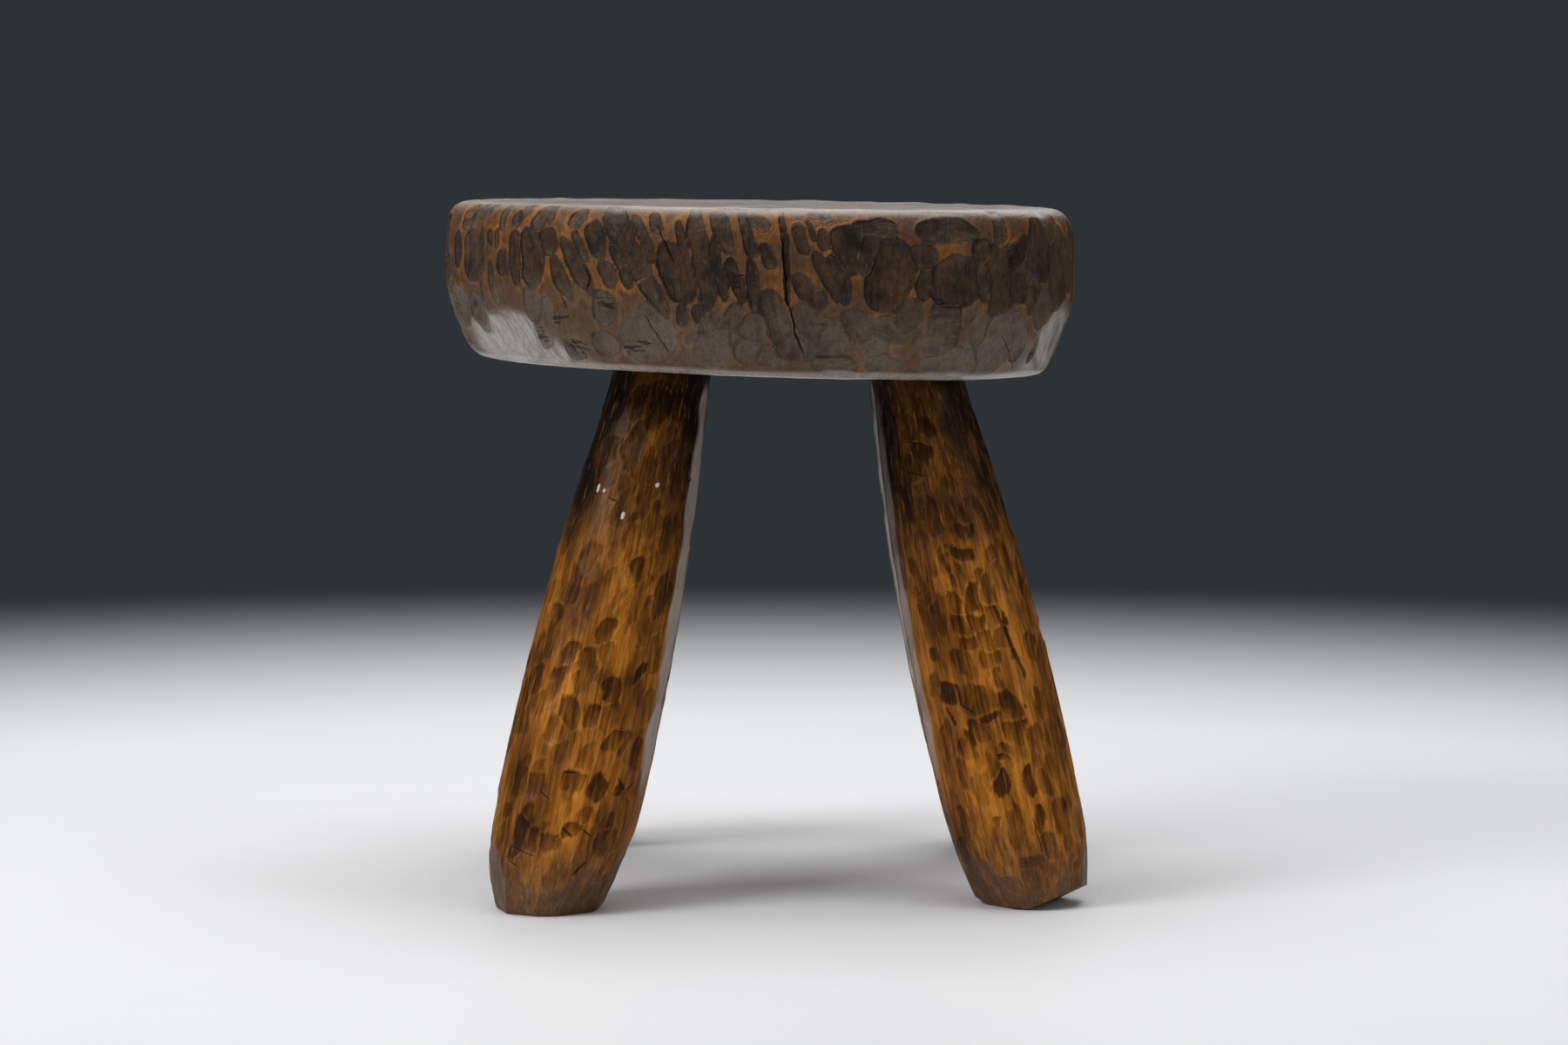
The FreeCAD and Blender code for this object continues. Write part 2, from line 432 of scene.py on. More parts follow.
@dataclass(frozen=True)
class LegFinish:
    """Waxed honey-coloured legs with dark stained scoops and long grain, painted shade under the seat and on
    the sides, and a painted floor reflection on the inner strip.
    """

    honey: Colour = tint(214, 136, 46)
    amber: Colour = tint(104, 58, 14)
    scoop: Colour = (0.24, 0.21, 0.13, 1.0)
    scoop_deep: Colour = tint(36, 23, 13)
    foot: Colour = tint(112, 86, 64)
    # Pale grey on the planed inner strip: a painted reflection of the bright floor
    strip_sheen: Colour = tint(176, 166, 156)
    # Near black: dark fibres, flecks, hairs and cracks, and the painted shade on the legs
    dark_and_shade: Colour = tint(22, 14, 8)
    drop: Colour = tint(226, 222, 214)
    ragged: Grain = Grain((0.0035, 0.0035, 0.014), 5.0, 0.7)
    blotch: Grain = Grain((0.022, 0.022, 0.06), 4.0)
    mottle: Grain = Grain((0.006, 0.006, 0.016), 5.0, 0.7)
    streak: Grain = Grain((0.0026, 0.0026, 0.032), 5.0, 0.65, 0.4)
    band: Grain = Grain((0.009, 0.009, 0.06), 4.0, distortion=0.3)
    fibre: Grain = Grain((0.0006, 0.0006, 0.009), 4.0, 0.6)
    fleck: Grain = Grain((0.0009, 0.0009, 0.0045), 3.0, 0.6)
    hair: Grain = Grain((0.0016, 0.0016, 0.024), 3.0, 0.7)
    relief_depth: float = 0.0009
    relief_strength: float = 0.6
    smoothest: float = 0.16
    coat_roughness: float = 0.18
    gloss: float = 0.09

    def make(self) -> bpy.types.Material:
        """The legs' material."""
        paint = Paint(Slot.LEG.value)
        grain = paint.along("grain")
        cut, stain, start, worn = paint.marks("cut", "stain", "start", "worn")
        dark_and_shade, strip_sheen, drop, split = paint.marks("dark_and_shade", "strip_sheen", "drop", "split")
        ragged, blotch, mottle = paint.noise(grain, self.ragged, self.blotch, self.mottle)
        streak, band = paint.noise(grain, self.streak, self.band)
        fibre, fleck, hair = paint.noise(grain, self.fibre, self.fleck, self.hair)
        inside = (cut + (ragged - 0.5) * 6.0).step(-0.4, 1.4)
        crest = cut.size().step(1.0, 0.0)
        ground = paint.layers(
            self.honey,
            (blotch.step(0.42, 0.68) * 0.85, self.amber),
            (band.step(0.44, 0.64) * 0.5, self.amber),
            (streak.step(0.42, 0.7) * 0.7, self.amber),
        )
        shaded = paint.mix(1.0, ground, self.scoop, "MULTIPLY")
        uneven = (mottle - 0.5) * 0.8 + (streak - 0.5) * 0.9 + (blotch - 0.5) * 0.5
        # Darker towards each scoop's upper end: the stain's darker cap where the tool went in, and painted
        # shade on the upper wall
        share = stain * 1.4 - 0.05 + start * stain * 0.3 + uneven
        dull = (stain + start * 0.15 + uneven * 0.9).step(0.72, 1.2)
        colour = paint.layers(
            ground,
            (inside * share.least(1.0), shaded),
            (inside * dull * 0.85, self.scoop_deep),
            (worn * (0.1 + mottle * 1.5), self.foot),
            # Painted shade, darkest under the seat and darker on the sides; also darker towards the foot
            ((dark_and_shade + (blotch - 0.5) * 0.5 * dark_and_shade) * (0.6 + mottle * 0.8), self.dark_and_shade),
            ((fibre - 0.42) * 0.6, self.dark_and_shade),
            (fleck.step(0.56, 0.75) * 0.5, self.dark_and_shade),
            (hair.step(0.52, 0.72) * 0.55, self.dark_and_shade),
            (hair.step(0.44, 0.3) * 0.3, self.honey),
            ((mottle - 0.52) * 1.4 * inside, self.dark_and_shade),
            # Painted floor reflection on the planed inner strip
            (strip_sheen * (0.35 + mottle * 0.9 + (streak - 0.5) * 1.2), self.strip_sheen),
            (split.step(0.15, 0.6) * (0.5 + mottle * 0.6), self.dark_and_shade),
            (drop.step(0.35, 0.6), self.drop),
        )
        rough = 0.42 + inside * 0.06 + (mottle - 0.5) * 0.35 - strip_sheen * 0.12
        relief = fibre * 0.4 + streak * 0.5 + mottle * 0.45 + ragged * 0.2 + crest * 0.15 + drop * 0.6
        return paint.surface(
            {
                "Base Color": colour,
                "Roughness": rough.most(self.smoothest),
                "Normal": paint.bump(relief, self.relief_depth, self.relief_strength),
                "Coat Weight": 0.04 + strip_sheen * 0.5,
                "Coat Roughness": self.coat_roughness,
                "Specular IOR Level": self.gloss,
            }
        )


@dataclass(frozen=True)
class WedgeFinish:
    """Riven pale hardwood, unwaxed, for the wedges inside the joints."""

    pale: Colour = tint(196, 158, 108)
    streak: Colour = tint(150, 108, 66)
    line: Grain = Grain((0.0012, 0.0012, 0.03), 4.0)
    relief_depth: float = 0.0005
    relief_strength: float = 0.6

    def make(self) -> bpy.types.Material:
        """The wedges' material."""
        paint = Paint(Slot.WEDGE.value)
        (line,) = paint.noise(paint.place(), self.line)
        return paint.surface(
            {
                "Base Color": paint.mix(line.step(0.35, 0.7), self.pale, self.streak),
                "Roughness": 0.62 + line * 0.2,
                "Normal": paint.bump(line, self.relief_depth, self.relief_strength),
            }
        )


@dataclass(frozen=True)
class Scoop:
    """One hollow left by a gouge, on an unrolled face: angles in radians on a round face, else metres."""

    across: float
    up: float
    half_length: float
    half_width: float
    turn: float
    depth: float
    stain: float


@dataclass(frozen=True)
class Gouge:
    """A tool and how it is driven.

    Sweep is the radius of its edge, deepest and shallowest are the most and the least that it cuts, and
    spread is how much wider than its clean floor a cut is at the surface.
    """

    sweep: float
    deepest: float
    spread: float = 1.0
    shallowest: float = 0.0


@dataclass(frozen=True)
class Stroke:
    """One gouge stroke on a round face: where the tool went in and came out, and the width of its cut.

    Angles are in degrees from the front towards +X. Heights and the width are in millimetres. Stain goes
    from 0, bare, to 1, nearly black.
    """

    angle_in: float
    height_in: float
    angle_out: float
    height_out: float
    width: float
    stain: float

    def scoop(self, radius: float, gouge: Gouge) -> Scoop:
        """The hollow that the stroke leaves.

        Args:
            radius: The face's radius.
            gouge: What cuts it.

        Returns:
            The hollow.
        """
        run = math.radians(self.angle_out - self.angle_in) * radius
        climb = (self.height_out - self.height_in) * MM
        half_width = self.width * MM / 2 * gouge.spread
        return Scoop(
            across=math.radians((self.angle_in + self.angle_out) / 2),
            up=(self.height_in + self.height_out) * MM / 2,
            half_length=max(math.hypot(run, climb) / 2 * math.sqrt(gouge.spread), half_width * 0.5),
            half_width=half_width,
            turn=math.atan2(climb, run),
            depth=max(min(half_width**2 / (2 * gouge.sweep), gouge.deepest), gouge.shallowest),
            stain=self.stain,
        )


@dataclass
class CutMarks:
    """What the tool left at each point: depth, signed distance inside a cut's edge, stain, the place along
    and beside the tool's track, how far it lies to the cut's upper left side, which the seat paints in
    shadow, and how near to the cut's start.
    """

    depth: Array
    edge: Array
    stain: Array
    track: Array
    shadow_side: Array
    start: Array


@dataclass(frozen=True)
class Waver:
    """The wandering of a hand-held tool: a smooth seeded drift over a face."""

    seed: int
    drift: float
    shortest: float = 0.011
    longest: float = 0.045
    waves: int = 14

    def drifts(self, across: Array, up: Array) -> tuple[Array, Array]:
        """How far each point is carried across and up.

        Args:
            across: Each point's place across the face in metres.
            up: Each point's place up the face in metres.

        Returns:
            The drift across and the drift up, in metres.
        """
        chance = np.random.default_rng(self.seed)
        moved = []
        for _ in range(2):
            total = np.zeros(len(across))
            for _ in range(self.waves):
                pitch = FULL_TURN / chance.uniform(self.shortest, self.longest)
                way, start = chance.uniform(0, FULL_TURN, 2)
                total += np.sin((across * math.cos(way) + up * math.sin(way)) * pitch + start)
            moved.append(total * self.drift / math.sqrt(self.waves))
        return moved[0], moved[1]


@dataclass
class Carving:
    """The hollows cut into one unrolled face."""

    scoops: list[Scoop]
    wraps: bool
    waver: Waver
    bluntness: float = 3.6
    margin: float = 0.006
    # Which way the side painted in shadow lies: how much upwards and how much to the left
    shadow_side_up: float = 0.8
    shadow_side_left: float = 0.6
    track_step: float = 7.3
    least_slope: float = 1e-6

    def cut(self, across: Array, up: Array, radius: Array | float = 1.0) -> CutMarks:
        """Cuts the hollows; where two meet, the deeper one wins and leaves a ridge between them.

        Past a cut's edge the nearest cut's marks carry on, so that they don't jump at the edge.

        Args:
            across: Each point's place across the face.
            up: Each point's place up the face.
            radius: What turns across into metres.

        Returns:
            What the tool left at each point.
        """
        count = len(across)
        radius = np.broadcast_to(radius, across.shape)
        drift_across, drift_up = self.waver.drifts(across * np.mean(radius), up)
        up = up + drift_up
        best, second = np.full(count, -1.0), np.full(count, -1.0)
        slope, second_slope = np.zeros((count, 2)), np.zeros((count, 2))
        stain, shadow_side, start = np.zeros(count), np.zeros(count), np.zeros(count)
        track = np.stack([up, across * radius, np.zeros(count)], 1)
        for number, scoop in enumerate(self.scoops, 1):
            aside = across - scoop.across
            if self.wraps:
                aside = wrapped(aside)
            aside = aside * radius + drift_across
            above = up - scoop.up
            reach = max(scoop.half_length, scoop.half_width) + self.margin
            near = np.flatnonzero((np.abs(aside) < reach) & (np.abs(above) < reach))
            cosine, sine = math.cos(scoop.turn), math.sin(scoop.turn)
            along = (aside[near] * cosine + above[near] * sine) / scoop.half_length
            beside = (above[near] * cosine - aside[near] * sine) / scoop.half_width
            blunt = np.abs(along) ** (self.bluntness - 1)
            depth = scoop.depth * (1 - blunt * np.abs(along) - beside**2)
            fall_along = -self.bluntness * scoop.depth * blunt * np.sign(along) / scoop.half_length
            fall_beside = -2 * scoop.depth * beside / scoop.half_width
            fall_across = fall_along * cosine - fall_beside * sine
            fall_up = fall_along * sine + fall_beside * cosine
            fall = np.stack([fall_across, fall_up], 1)
            wins = depth > best[near]
            won, lost = near[wins], near[~wins]
            second[won], second_slope[won] = best[won], slope[won]
            best[won], slope[won] = depth[wins], fall[wins]
            stain[won] = scoop.stain
            # How far the point lies towards the cut's upper left side, which the seat paints in shadow
            shadow_side[won] = beside[wins] * (self.shadow_side_up * sine + self.shadow_side_left * cosine)
            start[won] = -along[wins]
            track[won, 0] = along[wins] * scoop.half_length
            track[won, 1] = beside[wins] * scoop.half_width
            track[won, 2] = number * self.track_step
            closer = depth[~wins] > second[lost]
            second[lost[closer]] = depth[~wins][closer]
            second_slope[lost[closer]] = fall[~wins][closer]
        edge = best / np.maximum(np.linalg.norm(slope, axis=1), self.least_slope)
        apart = np.linalg.norm(slope - second_slope, axis=1)
        ridge = (best - second) / np.maximum(apart, self.least_slope)
        edge = np.where((best > 0) & (second > 0), np.minimum(edge, ridge), edge)
        edge = np.clip(edge, -self.margin, self.margin)
        return CutMarks(np.maximum(best, 0), edge, stain, track, shadow_side, start)


@dataclass(frozen=True)
class Face:
    """A round face unrolled: each point's angle from the front in radians, its height, and the radius."""

    angle: Array
    height: Array
    radius: float

    def beyond(self, angle: float, height: float) -> tuple[Array, Array]:
        """How far each point lies beside and above a spot, given in degrees and millimetres."""
        return wrapped(self.angle - math.radians(angle)) * self.radius, self.height - height * MM


@dataclass(frozen=True)
class Check:
    """A crack or scratch on a round face: the angles and heights it passes, and its width in millimetres.

    Its tips taper, and its line jogs a little as wood splits: how far, and how often, in millimetres.
    """

    passes: tuple[Span, ...]
    width: float
    taper: float = 6.0
    jogs: tuple[Span, ...] = ((0.3, 3.1), (0.2, 1.3))

    def open(self, face: Face) -> Array:
        """How far the crack is open at each point of a face.

        Args:
            face: What it runs over.

        Returns:
            The opening, 1 on the crack's line and 0 away from it.
        """
        opening = np.clip(1 - self.beside(face) / (self.width * MM), 0, 1)
        for tip in (self.passes[0], self.passes[-1]):
            opening = opening * ease(np.hypot(*face.beyond(*tip)), 0.0, self.taper * MM)
        return opening

    def beside(self, face: Face) -> Array:
        """Each point's distance from the crack's line.

        Args:
            face: What it runs over.

        Returns:
            The distances in metres.
        """
        jog = sum(far * MM * np.sin(face.height / (often * MM)) for far, often in self.jogs)
        nearest = np.full(len(face.angle), np.inf)
        for spot, following in zip(self.passes, self.passes[1:]):
            run = math.radians(following[0] - spot[0]) * face.radius
            climb = (following[1] - spot[1]) * MM
            aside, above = face.beyond(*spot)
            aside = aside + jog
            share = np.clip((aside * run + above * climb) / (run**2 + climb**2), 0, 1)
            nearest = np.minimum(nearest, np.hypot(aside - share * run, above - share * climb))
        return nearest


def opened(cracks: tuple[Check, ...], face: Face) -> Array:
    """How far the widest of several cracks is open at each point of a face."""
    return np.max([np.zeros(len(face.angle))] + [crack.open(face) for crack in cracks], axis=0)


@dataclass(frozen=True)
class Facet:
    """A flat left by a knife or adze: the way it faces, and how deep it bites at a point of the face.

    Angle and tilt are in degrees; tilt is positive where the flat faces down. Height and bite are in
    millimetres.
    """

    angle: float
    height: float
    tilt: float
    bite: float

    def shave(self, points: Array, spot: Array, reached: Array) -> tuple[Array, Array]:
        """Cuts the flat.

        Args:
            points: Every point's place.
            spot: The place on the uncut face that its bite is measured from.
            reached: Which points it can reach.

        Returns:
            The points after the cut, and how far each was cut back.
        """
        tilt = math.radians(self.tilt)
        facing = way_out(math.radians(self.angle)) * math.cos(tilt) - np.array([0, 0, math.sin(tilt)])
        over = np.maximum((points - spot) @ facing + self.bite * MM, 0) * reached
        return points - over[:, None] * facing, over


@dataclass(frozen=True)
class Patch:
    """A patch on a round face: its middle and its half sizes, in degrees and millimetres."""

    angle: float
    height: float
    half_angle: float
    half_height: float

    def strength(self, face: Face) -> Array:
        """How far each point of a face lies in the patch: 1 in its middle, 0 outside it."""
        aside, above = face.beyond(self.angle, self.height)
        aside = aside / (math.radians(self.half_angle) * face.radius)
        return ease(np.hypot(aside, above / (self.half_height * MM)), 1.0, 0.3)


def new_piece(name: str, mesh: Mesh) -> bpy.types.Object:
    """Puts a mesh in the scene as one piece."""
    piece = bpy.data.objects.new(name, mesh)
    bpy.context.scene.collection.objects.link(piece)
    return piece


def to_mesh(form: bmesh.types.BMesh, name: str) -> Mesh:
    """Ends a bmesh: merges doubles, turns the faces outwards and makes a mesh.

    Args:
        form: The bmesh, which is freed.
        name: The mesh's name.

    Returns:
        The mesh.
    """
    bmesh.ops.remove_doubles(form, verts=form.verts, dist=WELD)
    bmesh.ops.recalc_face_normals(form, faces=form.faces)
    mesh = bpy.data.meshes.new(name)
    form.to_mesh(mesh)
    form.free()
    return mesh


def spun(name: str, outline: list[Span], cuts: list[int], turns: int, softening: int) -> Mesh:
    """Turns an outline about the Z axis into a closed form with an even, fine mesh.

    Args:
        name: The mesh's name.
        outline: Radius and height of each corner.
        cuts: How often each run between corners is divided.
        turns: Divisions round the axis, a multiple of RING_CUTS.
        softening: How often the corners between the first and last are smoothed.

    Returns:
        The mesh.
    """
    form = bmesh.new()
    corners = [form.verts.new((radius, 0.0, height)) for radius, height in outline]
    runs = [form.edges.new(pair) for pair in zip(corners, corners[1:])]
    for run, count in zip(runs, cuts):
        bmesh.ops.subdivide_edges(form, edges=[run], cuts=count)
    inner = [v for v in form.verts if len(v.link_edges) == 2]
    all_ways = {"use_axis_x": True, "use_axis_y": True, "use_axis_z": True}
    for _ in range(softening):
        bmesh.ops.smooth_vert(form, verts=inner, factor=0.5, **all_ways)
    steps = turns // RING_CUTS
    bmesh.ops.spin(
        form,
        geom=form.verts[:] + form.edges[:],
        cent=(0, 0, 0),
        axis=(0, 0, 1),
        angle=FULL_TURN,
        steps=steps,
        use_merge=True,
    )
    bmesh.ops.remove_doubles(form, verts=form.verts, dist=WELD)
    half_step = math.pi / steps
    rings = [e for e in form.edges if e.verts[0].co.xy.angle(e.verts[1].co.xy, 0.0) > half_step]
    bmesh.ops.subdivide_edges(form, edges=rings, cuts=RING_CUTS - 1)
    mesh = to_mesh(form, name)
    points = read_points(mesh)
    turn = np.arctan2(points[:, 1], points[:, 0])
    from_chord = np.cos(turn % (2 * half_step) - half_step) / math.cos(half_step)
    points[:, :2] *= from_chord[:, None]
    write_points(mesh, points)
    return mesh


def cut_away(piece: bpy.types.Object, cutter: Mesh) -> None:
    """Cuts one mesh out of a piece and throws the cutter away.

    Args:
        piece: What is cut.
        cutter: The mesh cut out of it.
    """
    knife = new_piece("cutter", cutter)
    modifier = piece.modifiers.new("cut", "BOOLEAN")
    modifier.operation = "DIFFERENCE"
    modifier.solver = "MANIFOLD"
    modifier.object = knife
    shape = piece.evaluated_get(bpy.context.evaluated_depsgraph_get())
    mesh = bpy.data.meshes.new_from_object(shape)
    mesh.materials.clear()
    piece.modifiers.clear()
    whole = piece.data
    piece.data = mesh
    bpy.data.meshes.remove(whole)
    bpy.data.objects.remove(knife)
    bpy.data.meshes.remove(cutter)


def read_points(mesh: Mesh, what: str = "co") -> Array:
    """Every vertex's place or normal."""
    flat = np.empty(len(mesh.vertices) * 3, np.float32)
    mesh.vertices.foreach_get(what, flat)
    return flat.reshape(-1, 3).astype(float)


def write_points(mesh: Mesh, points: Array) -> None:
    """Moves every vertex."""
    mesh.vertices.foreach_set("co", points.astype(np.float32).ravel())
    mesh.update()


def divide_along(mesh: Mesh, face: Face, cracks: tuple[Check, ...], outer: Array) -> None:
    """Divides a mesh more finely along cracks.

    Args:
        mesh: What is divided.
        face: Where its vertices lie on the face that the cracks run over.
        cracks: The cracks.
        outer: Which vertices lie on that face.
    """
    near = np.zeros(len(outer), bool)
    for crack in cracks:
        near |= crack.beside(face) < NEAR_CRACK
    near &= outer
    form = bmesh.new()
    form.from_mesh(mesh)
    edges = [e for e in form.edges if near[e.verts[0].index] and near[e.verts[1].index]]
    bmesh.ops.subdivide_edges(form, edges=edges, cuts=CRACK_CUTS, use_grid_fill=True)
    form.to_mesh(mesh)
    form.free()


def keep_marks(mesh: Mesh, marks: dict[str, Array]) -> None:
    """Keeps numbers, or vectors, on every vertex for the material to read.

    Args:
        mesh: What they are kept on.
        marks: The numbers or vectors by name.
    """
    for name, values in marks.items():
        kind, field = ("FLOAT_VECTOR", "vector") if values.ndim == 2 else ("FLOAT", "value")
        mark = mesh.attributes.new(name, kind, "POINT")
        mark.data.foreach_set(field, values.astype(np.float32).ravel())


def show_smooth(mesh: Mesh, sharp: float) -> None:
    """Shades a mesh smooth, but for edges sharper than an angle in degrees."""
    mesh.polygons.foreach_set("use_smooth", np.ones(len(mesh.polygons), bool))
    mesh.set_sharp_from_angle(angle=math.radians(sharp))


SEAT_STROKES = rows_of(
    Stroke,
    (
        # Short slanted cuts along the shoulder, left of the front
        (-66.2, 83, -67, 90, 15, 0.3), (-61.1, 81, -62.9, 90, 10, 0.25), (-57.5, 84, -58.9, 90, 9, 0.25),
        (-51.8, 75, -52.4, 90, 6, 0.35), (-48, 79, -47.4, 88, 10, 0.6), (-45.6, 84, -46.6, 91, 7, 0.4),
        (-43, 78, -40.5, 90, 9, 0.6), (-39.3, 81, -39.9, 91, 5, 0.35), (-35, 78, -32.8, 89, 8, 0.45),
        # Upright cuts at the left end
        (-70.6, 75, -70.6, 53, 14, 0.65), (-78.1, 60, -76.1, 47, 23, 0.5),
        (-65.6, 83, -65.4, 77, 17, 0.7), (-62.1, 76, -63.1, 47, 21, 0.6), (-58.5, 77, -59.3, 36, 5, 0.5),
        (-55.7, 77, -56.1, 67, 6, 0.6), (-53.8, 77, -53.2, 67, 5, 0.7), (-51.8, 66, -50.6, 51, 10, 0.6),
        (-55.5, 58, -54.2, 33, 8, 0.45), (-48.2, 76, -47.2, 45, 9, 0.6), (-44.6, 77, -43.1, 46, 17, 0.62),
        (-40.5, 78, -38.9, 64, 12, 0.6),
        # Slanted cuts left of the middle
        (-38.7, 64.4, -34.5, 38.6, 8.5, 0.6), (-36.2, 72.6, -30.5, 42.4, 8.5, 0.6),
        (-34.4, 79, -31, 60, 4.7, 0.45), (-30.7, 83, -28.5, 64, 10.3, 0.65),
        (-28.5, 61.7, -25.9, 48.3, 7.5, 0.5), (-27.6, 91, -19.7, 50.8, 13.2, 0.62),
        (-26.2, 74.4, -22.5, 47.6, 8.5, 0.6), (-20.7, 56.4, -16.3, 30.6, 9.4, 0.52),
        (-22.5, 86.4, -18.5, 60.6, 7.5, 0.64), (-19.2, 87.5, -17.2, 77.5, 6.6, 0.66),
        (-16.3, 71.7, -12.6, 40.3, 15, 0.68), (-14, 82.2, -10, 41.8, 6.6, 0.6),
        (-11.4, 89.8, -8.4, 37.2, 10.3, 0.6), (-13.6, 38.6, -12.8, 27.4, 5.6, 0.82),
        (-11.1, 39.6, -9.7, 28.4, 7.5, 0.76), (-7.6, 90.2, -4.5, 67.8, 8.5, 0.6),
        (-7.7, 75.8, -5.9, 42.2, 5.6, 0.76), (-2.6, 89.5, -0.8, 61.5, 6.6, 0.55),
        (-4.8, 64.3, -2.6, 40.7, 6.6, 0.84), (-1.3, 66.6, -0.5, 37.4, 6.6, 0.55),
        # Cuts about the main crack and right of it
        (-1.1, 88, 2.1, 80, 7, 0.4), (0.7, 73, 2.7, 59, 7, 0.6), (1.9, 48, 4.3, 18, 13, 0.62),
        (4.3, 89, 5.4, 41, 4, 0.86), (6.6, 83, 8.6, 67, 7, 0.6), (8.6, 86, 10, 75, 4, 0.6),
        (11, 81, 12.6, 69, 7, 0.55), (9.8, 69, 14, 43, 9, 0.6), (13.2, 66, 16.1, 42, 8, 0.66),
        (6.6, 59, 9, 45, 8, 0.5), (10, 47, 11.4, 38, 7, 0.6), (9, 89, 11.4, 87, 4, 0.2),
        (11.6, 88, 12.8, 84, 6, 0.45),
        # Broad round cuts on the right
        (14.9, 82.5, 18.3, 58.5, 17.4, 0.74), (20.5, 78.5, 17.9, 57.5, 13.9, 0.66),
        (16.9, 81, 25.4, 81.5, 10.5, 0.6), (24.8, 75.5, 22.7, 38.5, 25.5, 0.65),
        (30.2, 73.5, 29.8, 60.5, 15.1, 0.6), (29.4, 80, 42.3, 81, 12.5, 0.62),
        (31.4, 61.5, 29.8, 44.5, 10.4, 0.55), (36.9, 67.5, 37.5, 40.5, 29, 0.56),
        (40.9, 70, 45.6, 70, 11.6, 0.6), (43.7, 65.5, 44.1, 42.5, 11.6, 0.45),
        (46.8, 83, 50.4, 81, 22, 0.6), (48.2, 73.5, 48.6, 36.5, 23.2, 0.58),
        (52.6, 75.5, 54.4, 62.5, 26.7, 0.86), (54.9, 63.5, 53.4, 42.5, 24.4, 0.62),
        (62.9, 85.5, 62.3, 54.5, 33.6, 0.6), (71, 81.5, 70.8, 37.5, 29, 0.55),
        (64.3, 89, 71.8, 85, 30.2, 0.4), (59.9, 54.5, 58.7, 36.5, 12.8, 0.5),
        (63.5, 50.5, 66.4, 30.5, 26.7, 0.45), (79.3, 78.5, 77.9, 47.5, 19.7, 0.45),
        # Wider, greyer cuts along the lower band
        (26, 41, 29, 29, 16.8, 0.35), (43, 37, 46, 21, 16.8, 0.38), (-73, 43, -72.8, 20, 33.6, 0.35),
        (-63.7, 39, -62.3, 17, 19.2, 0.62), (-44.6, 44, -43.3, 24, 13.2, 0.3),
        (-40.1, 39, -45.2, 9, 13.2, 0.3), (-28, 46, -28.6, 27, 14.4, 0.5),
        (-29.6, 22, -28.6, 9, 14.4, 0.35), (-38.3, 15, -35.3, 6, 12, 0.3),
        (-23.3, 32, -17.1, 12, 30, 0.35), (-10.8, 21, -5.4, 10, 24, 0.35),
        (-12.2, 23, -11.6, 21, 8.4, 0.45), (-7.2, 36, -6.2, 26, 7.2, 0.5),
        (-4.1, 40, -4.1, 27, 10.8, 0.52), (-8.6, 33, -9, 21, 10.8, 0.45),
        (-1.1, 36, -0.3, 22, 16.8, 0.42), (-4.3, 25, -4.5, 16, 8.4, 0.42), (-1.5, 22, -2.3, 9, 14.4, 0.4),
        (1.9, 18, 1.1, 8, 12, 0.4), (7.6, 42, 11, 19, 15.6, 0.45), (7.4, 26, 6.8, 11, 21.6, 0.5),
        (12.8, 32, 14, 13, 16.8, 0.42), (15.7, 37, 20.9, 22, 12, 0.52), (20.7, 33, 27.8, 23, 9.6, 0.55),
        (18.9, 25, 24.7, 16, 9.6, 0.42), (31.8, 28, 38.7, 27, 32.4, 0.6), (46.8, 32, 53.2, 9, 36, 0.42),
        (55.3, 32, 58.1, 12, 15.6, 0.4), (32.2, 9, 47, 9, 16.8, 0.38), (20.5, 10, 27.8, 7, 12, 0.38),
        (10.8, 9, 18.9, 6, 12, 0.38), (63.9, 21, 66.6, 11, 12, 0.9),
    ),
)

SEAT_CHECKS = rows_of(
    Check,
    (
        (((3.7, 91), (4.5, 64), (5.2, 43), (6.8, 25), (8.8, 11)), 0.65),
        (((-48, 87), (-46.6, 59), (-47, 44)), 0.55),
        (((-58.5, 77), (-58.9, 34)), 0.4),
        (((-18.1, 83), (-14.4, 60)), 0.35),
        (((-20.9, 34), (-16.5, 10)), 0.3),
        (((-32.8, 62), (-30.8, 52), (-31.6, 42)), 0.5),
        (((-37.3, 46), (-35.7, 32)), 0.4),
        (((-57.9, 26), (-59.3, 5)), 0.45),
        (((-53.8, 28), (-53.6, 7)), 0.45),
        (((-63.3, 17), (-62.9, 4)), 0.4),
        (((-37.1, 19), (-33.6, 4)), 0.7),
        (((-38.5, 17), (-36.1, 6)), 0.6),
        (((71.6, 31), (72.8, 17)), 0.45),
        (((51, 25.5), (54, 18.4), (59.1, 6.4)), 0.3),
        (((118, 88), (120, 50), (119, 14)), 1.2),
        (((196, 90), (194, 52)), 1.0),
        (((262, 86), (264, 40), (263, 20)), 1.0),
    ),
)

SEAT_FACETS = rows_of(
    Facet,
    (
        (-64, 14, 30, 2.2), (-58, 16, 31, 3.0), (-52, 15, 28, 2.8), (-46, 10, 34, 2.0), (-36, 5, 44, 1.2),
        (66, 12, 32, 2.2), (73, 20, 21, 4.6), (82, 18, 24, 3.2),
        (140, 10, 46, 2.5), (200, 12, 44, 2.5), (255, 10, 46, 2.5),
    ),
)

SEAT_TORN = rows_of(
    Patch,
    (
        (-38, 29, 5, 8), (-35, 13, 6, 9), (-28, 38, 4, 12), (-23, 15, 6, 8), (-3.3, 52, 2.5, 12),
        (53, 69, 5, 12), (65, 16, 4, 9), (-44, 18, 4, 9), (12, 30, 3, 8),
        (130, 30, 6, 9), (215, 24, 7, 8), (282, 30, 5, 9),
    ),
)


@dataclass(frozen=True)
class SlabSpots:
    """Where each point of the slab lies.

    x and y are from the slab's middle, angle is from the front, rise is from the underside and inset is from
    the widest outline. Height is the rise, carried on over the lip and in under the lower edge.
    """

    x: Array
    y: Array
    angle: Array
    rise: Array
    inset: Array
    upper: Array
    height: Array


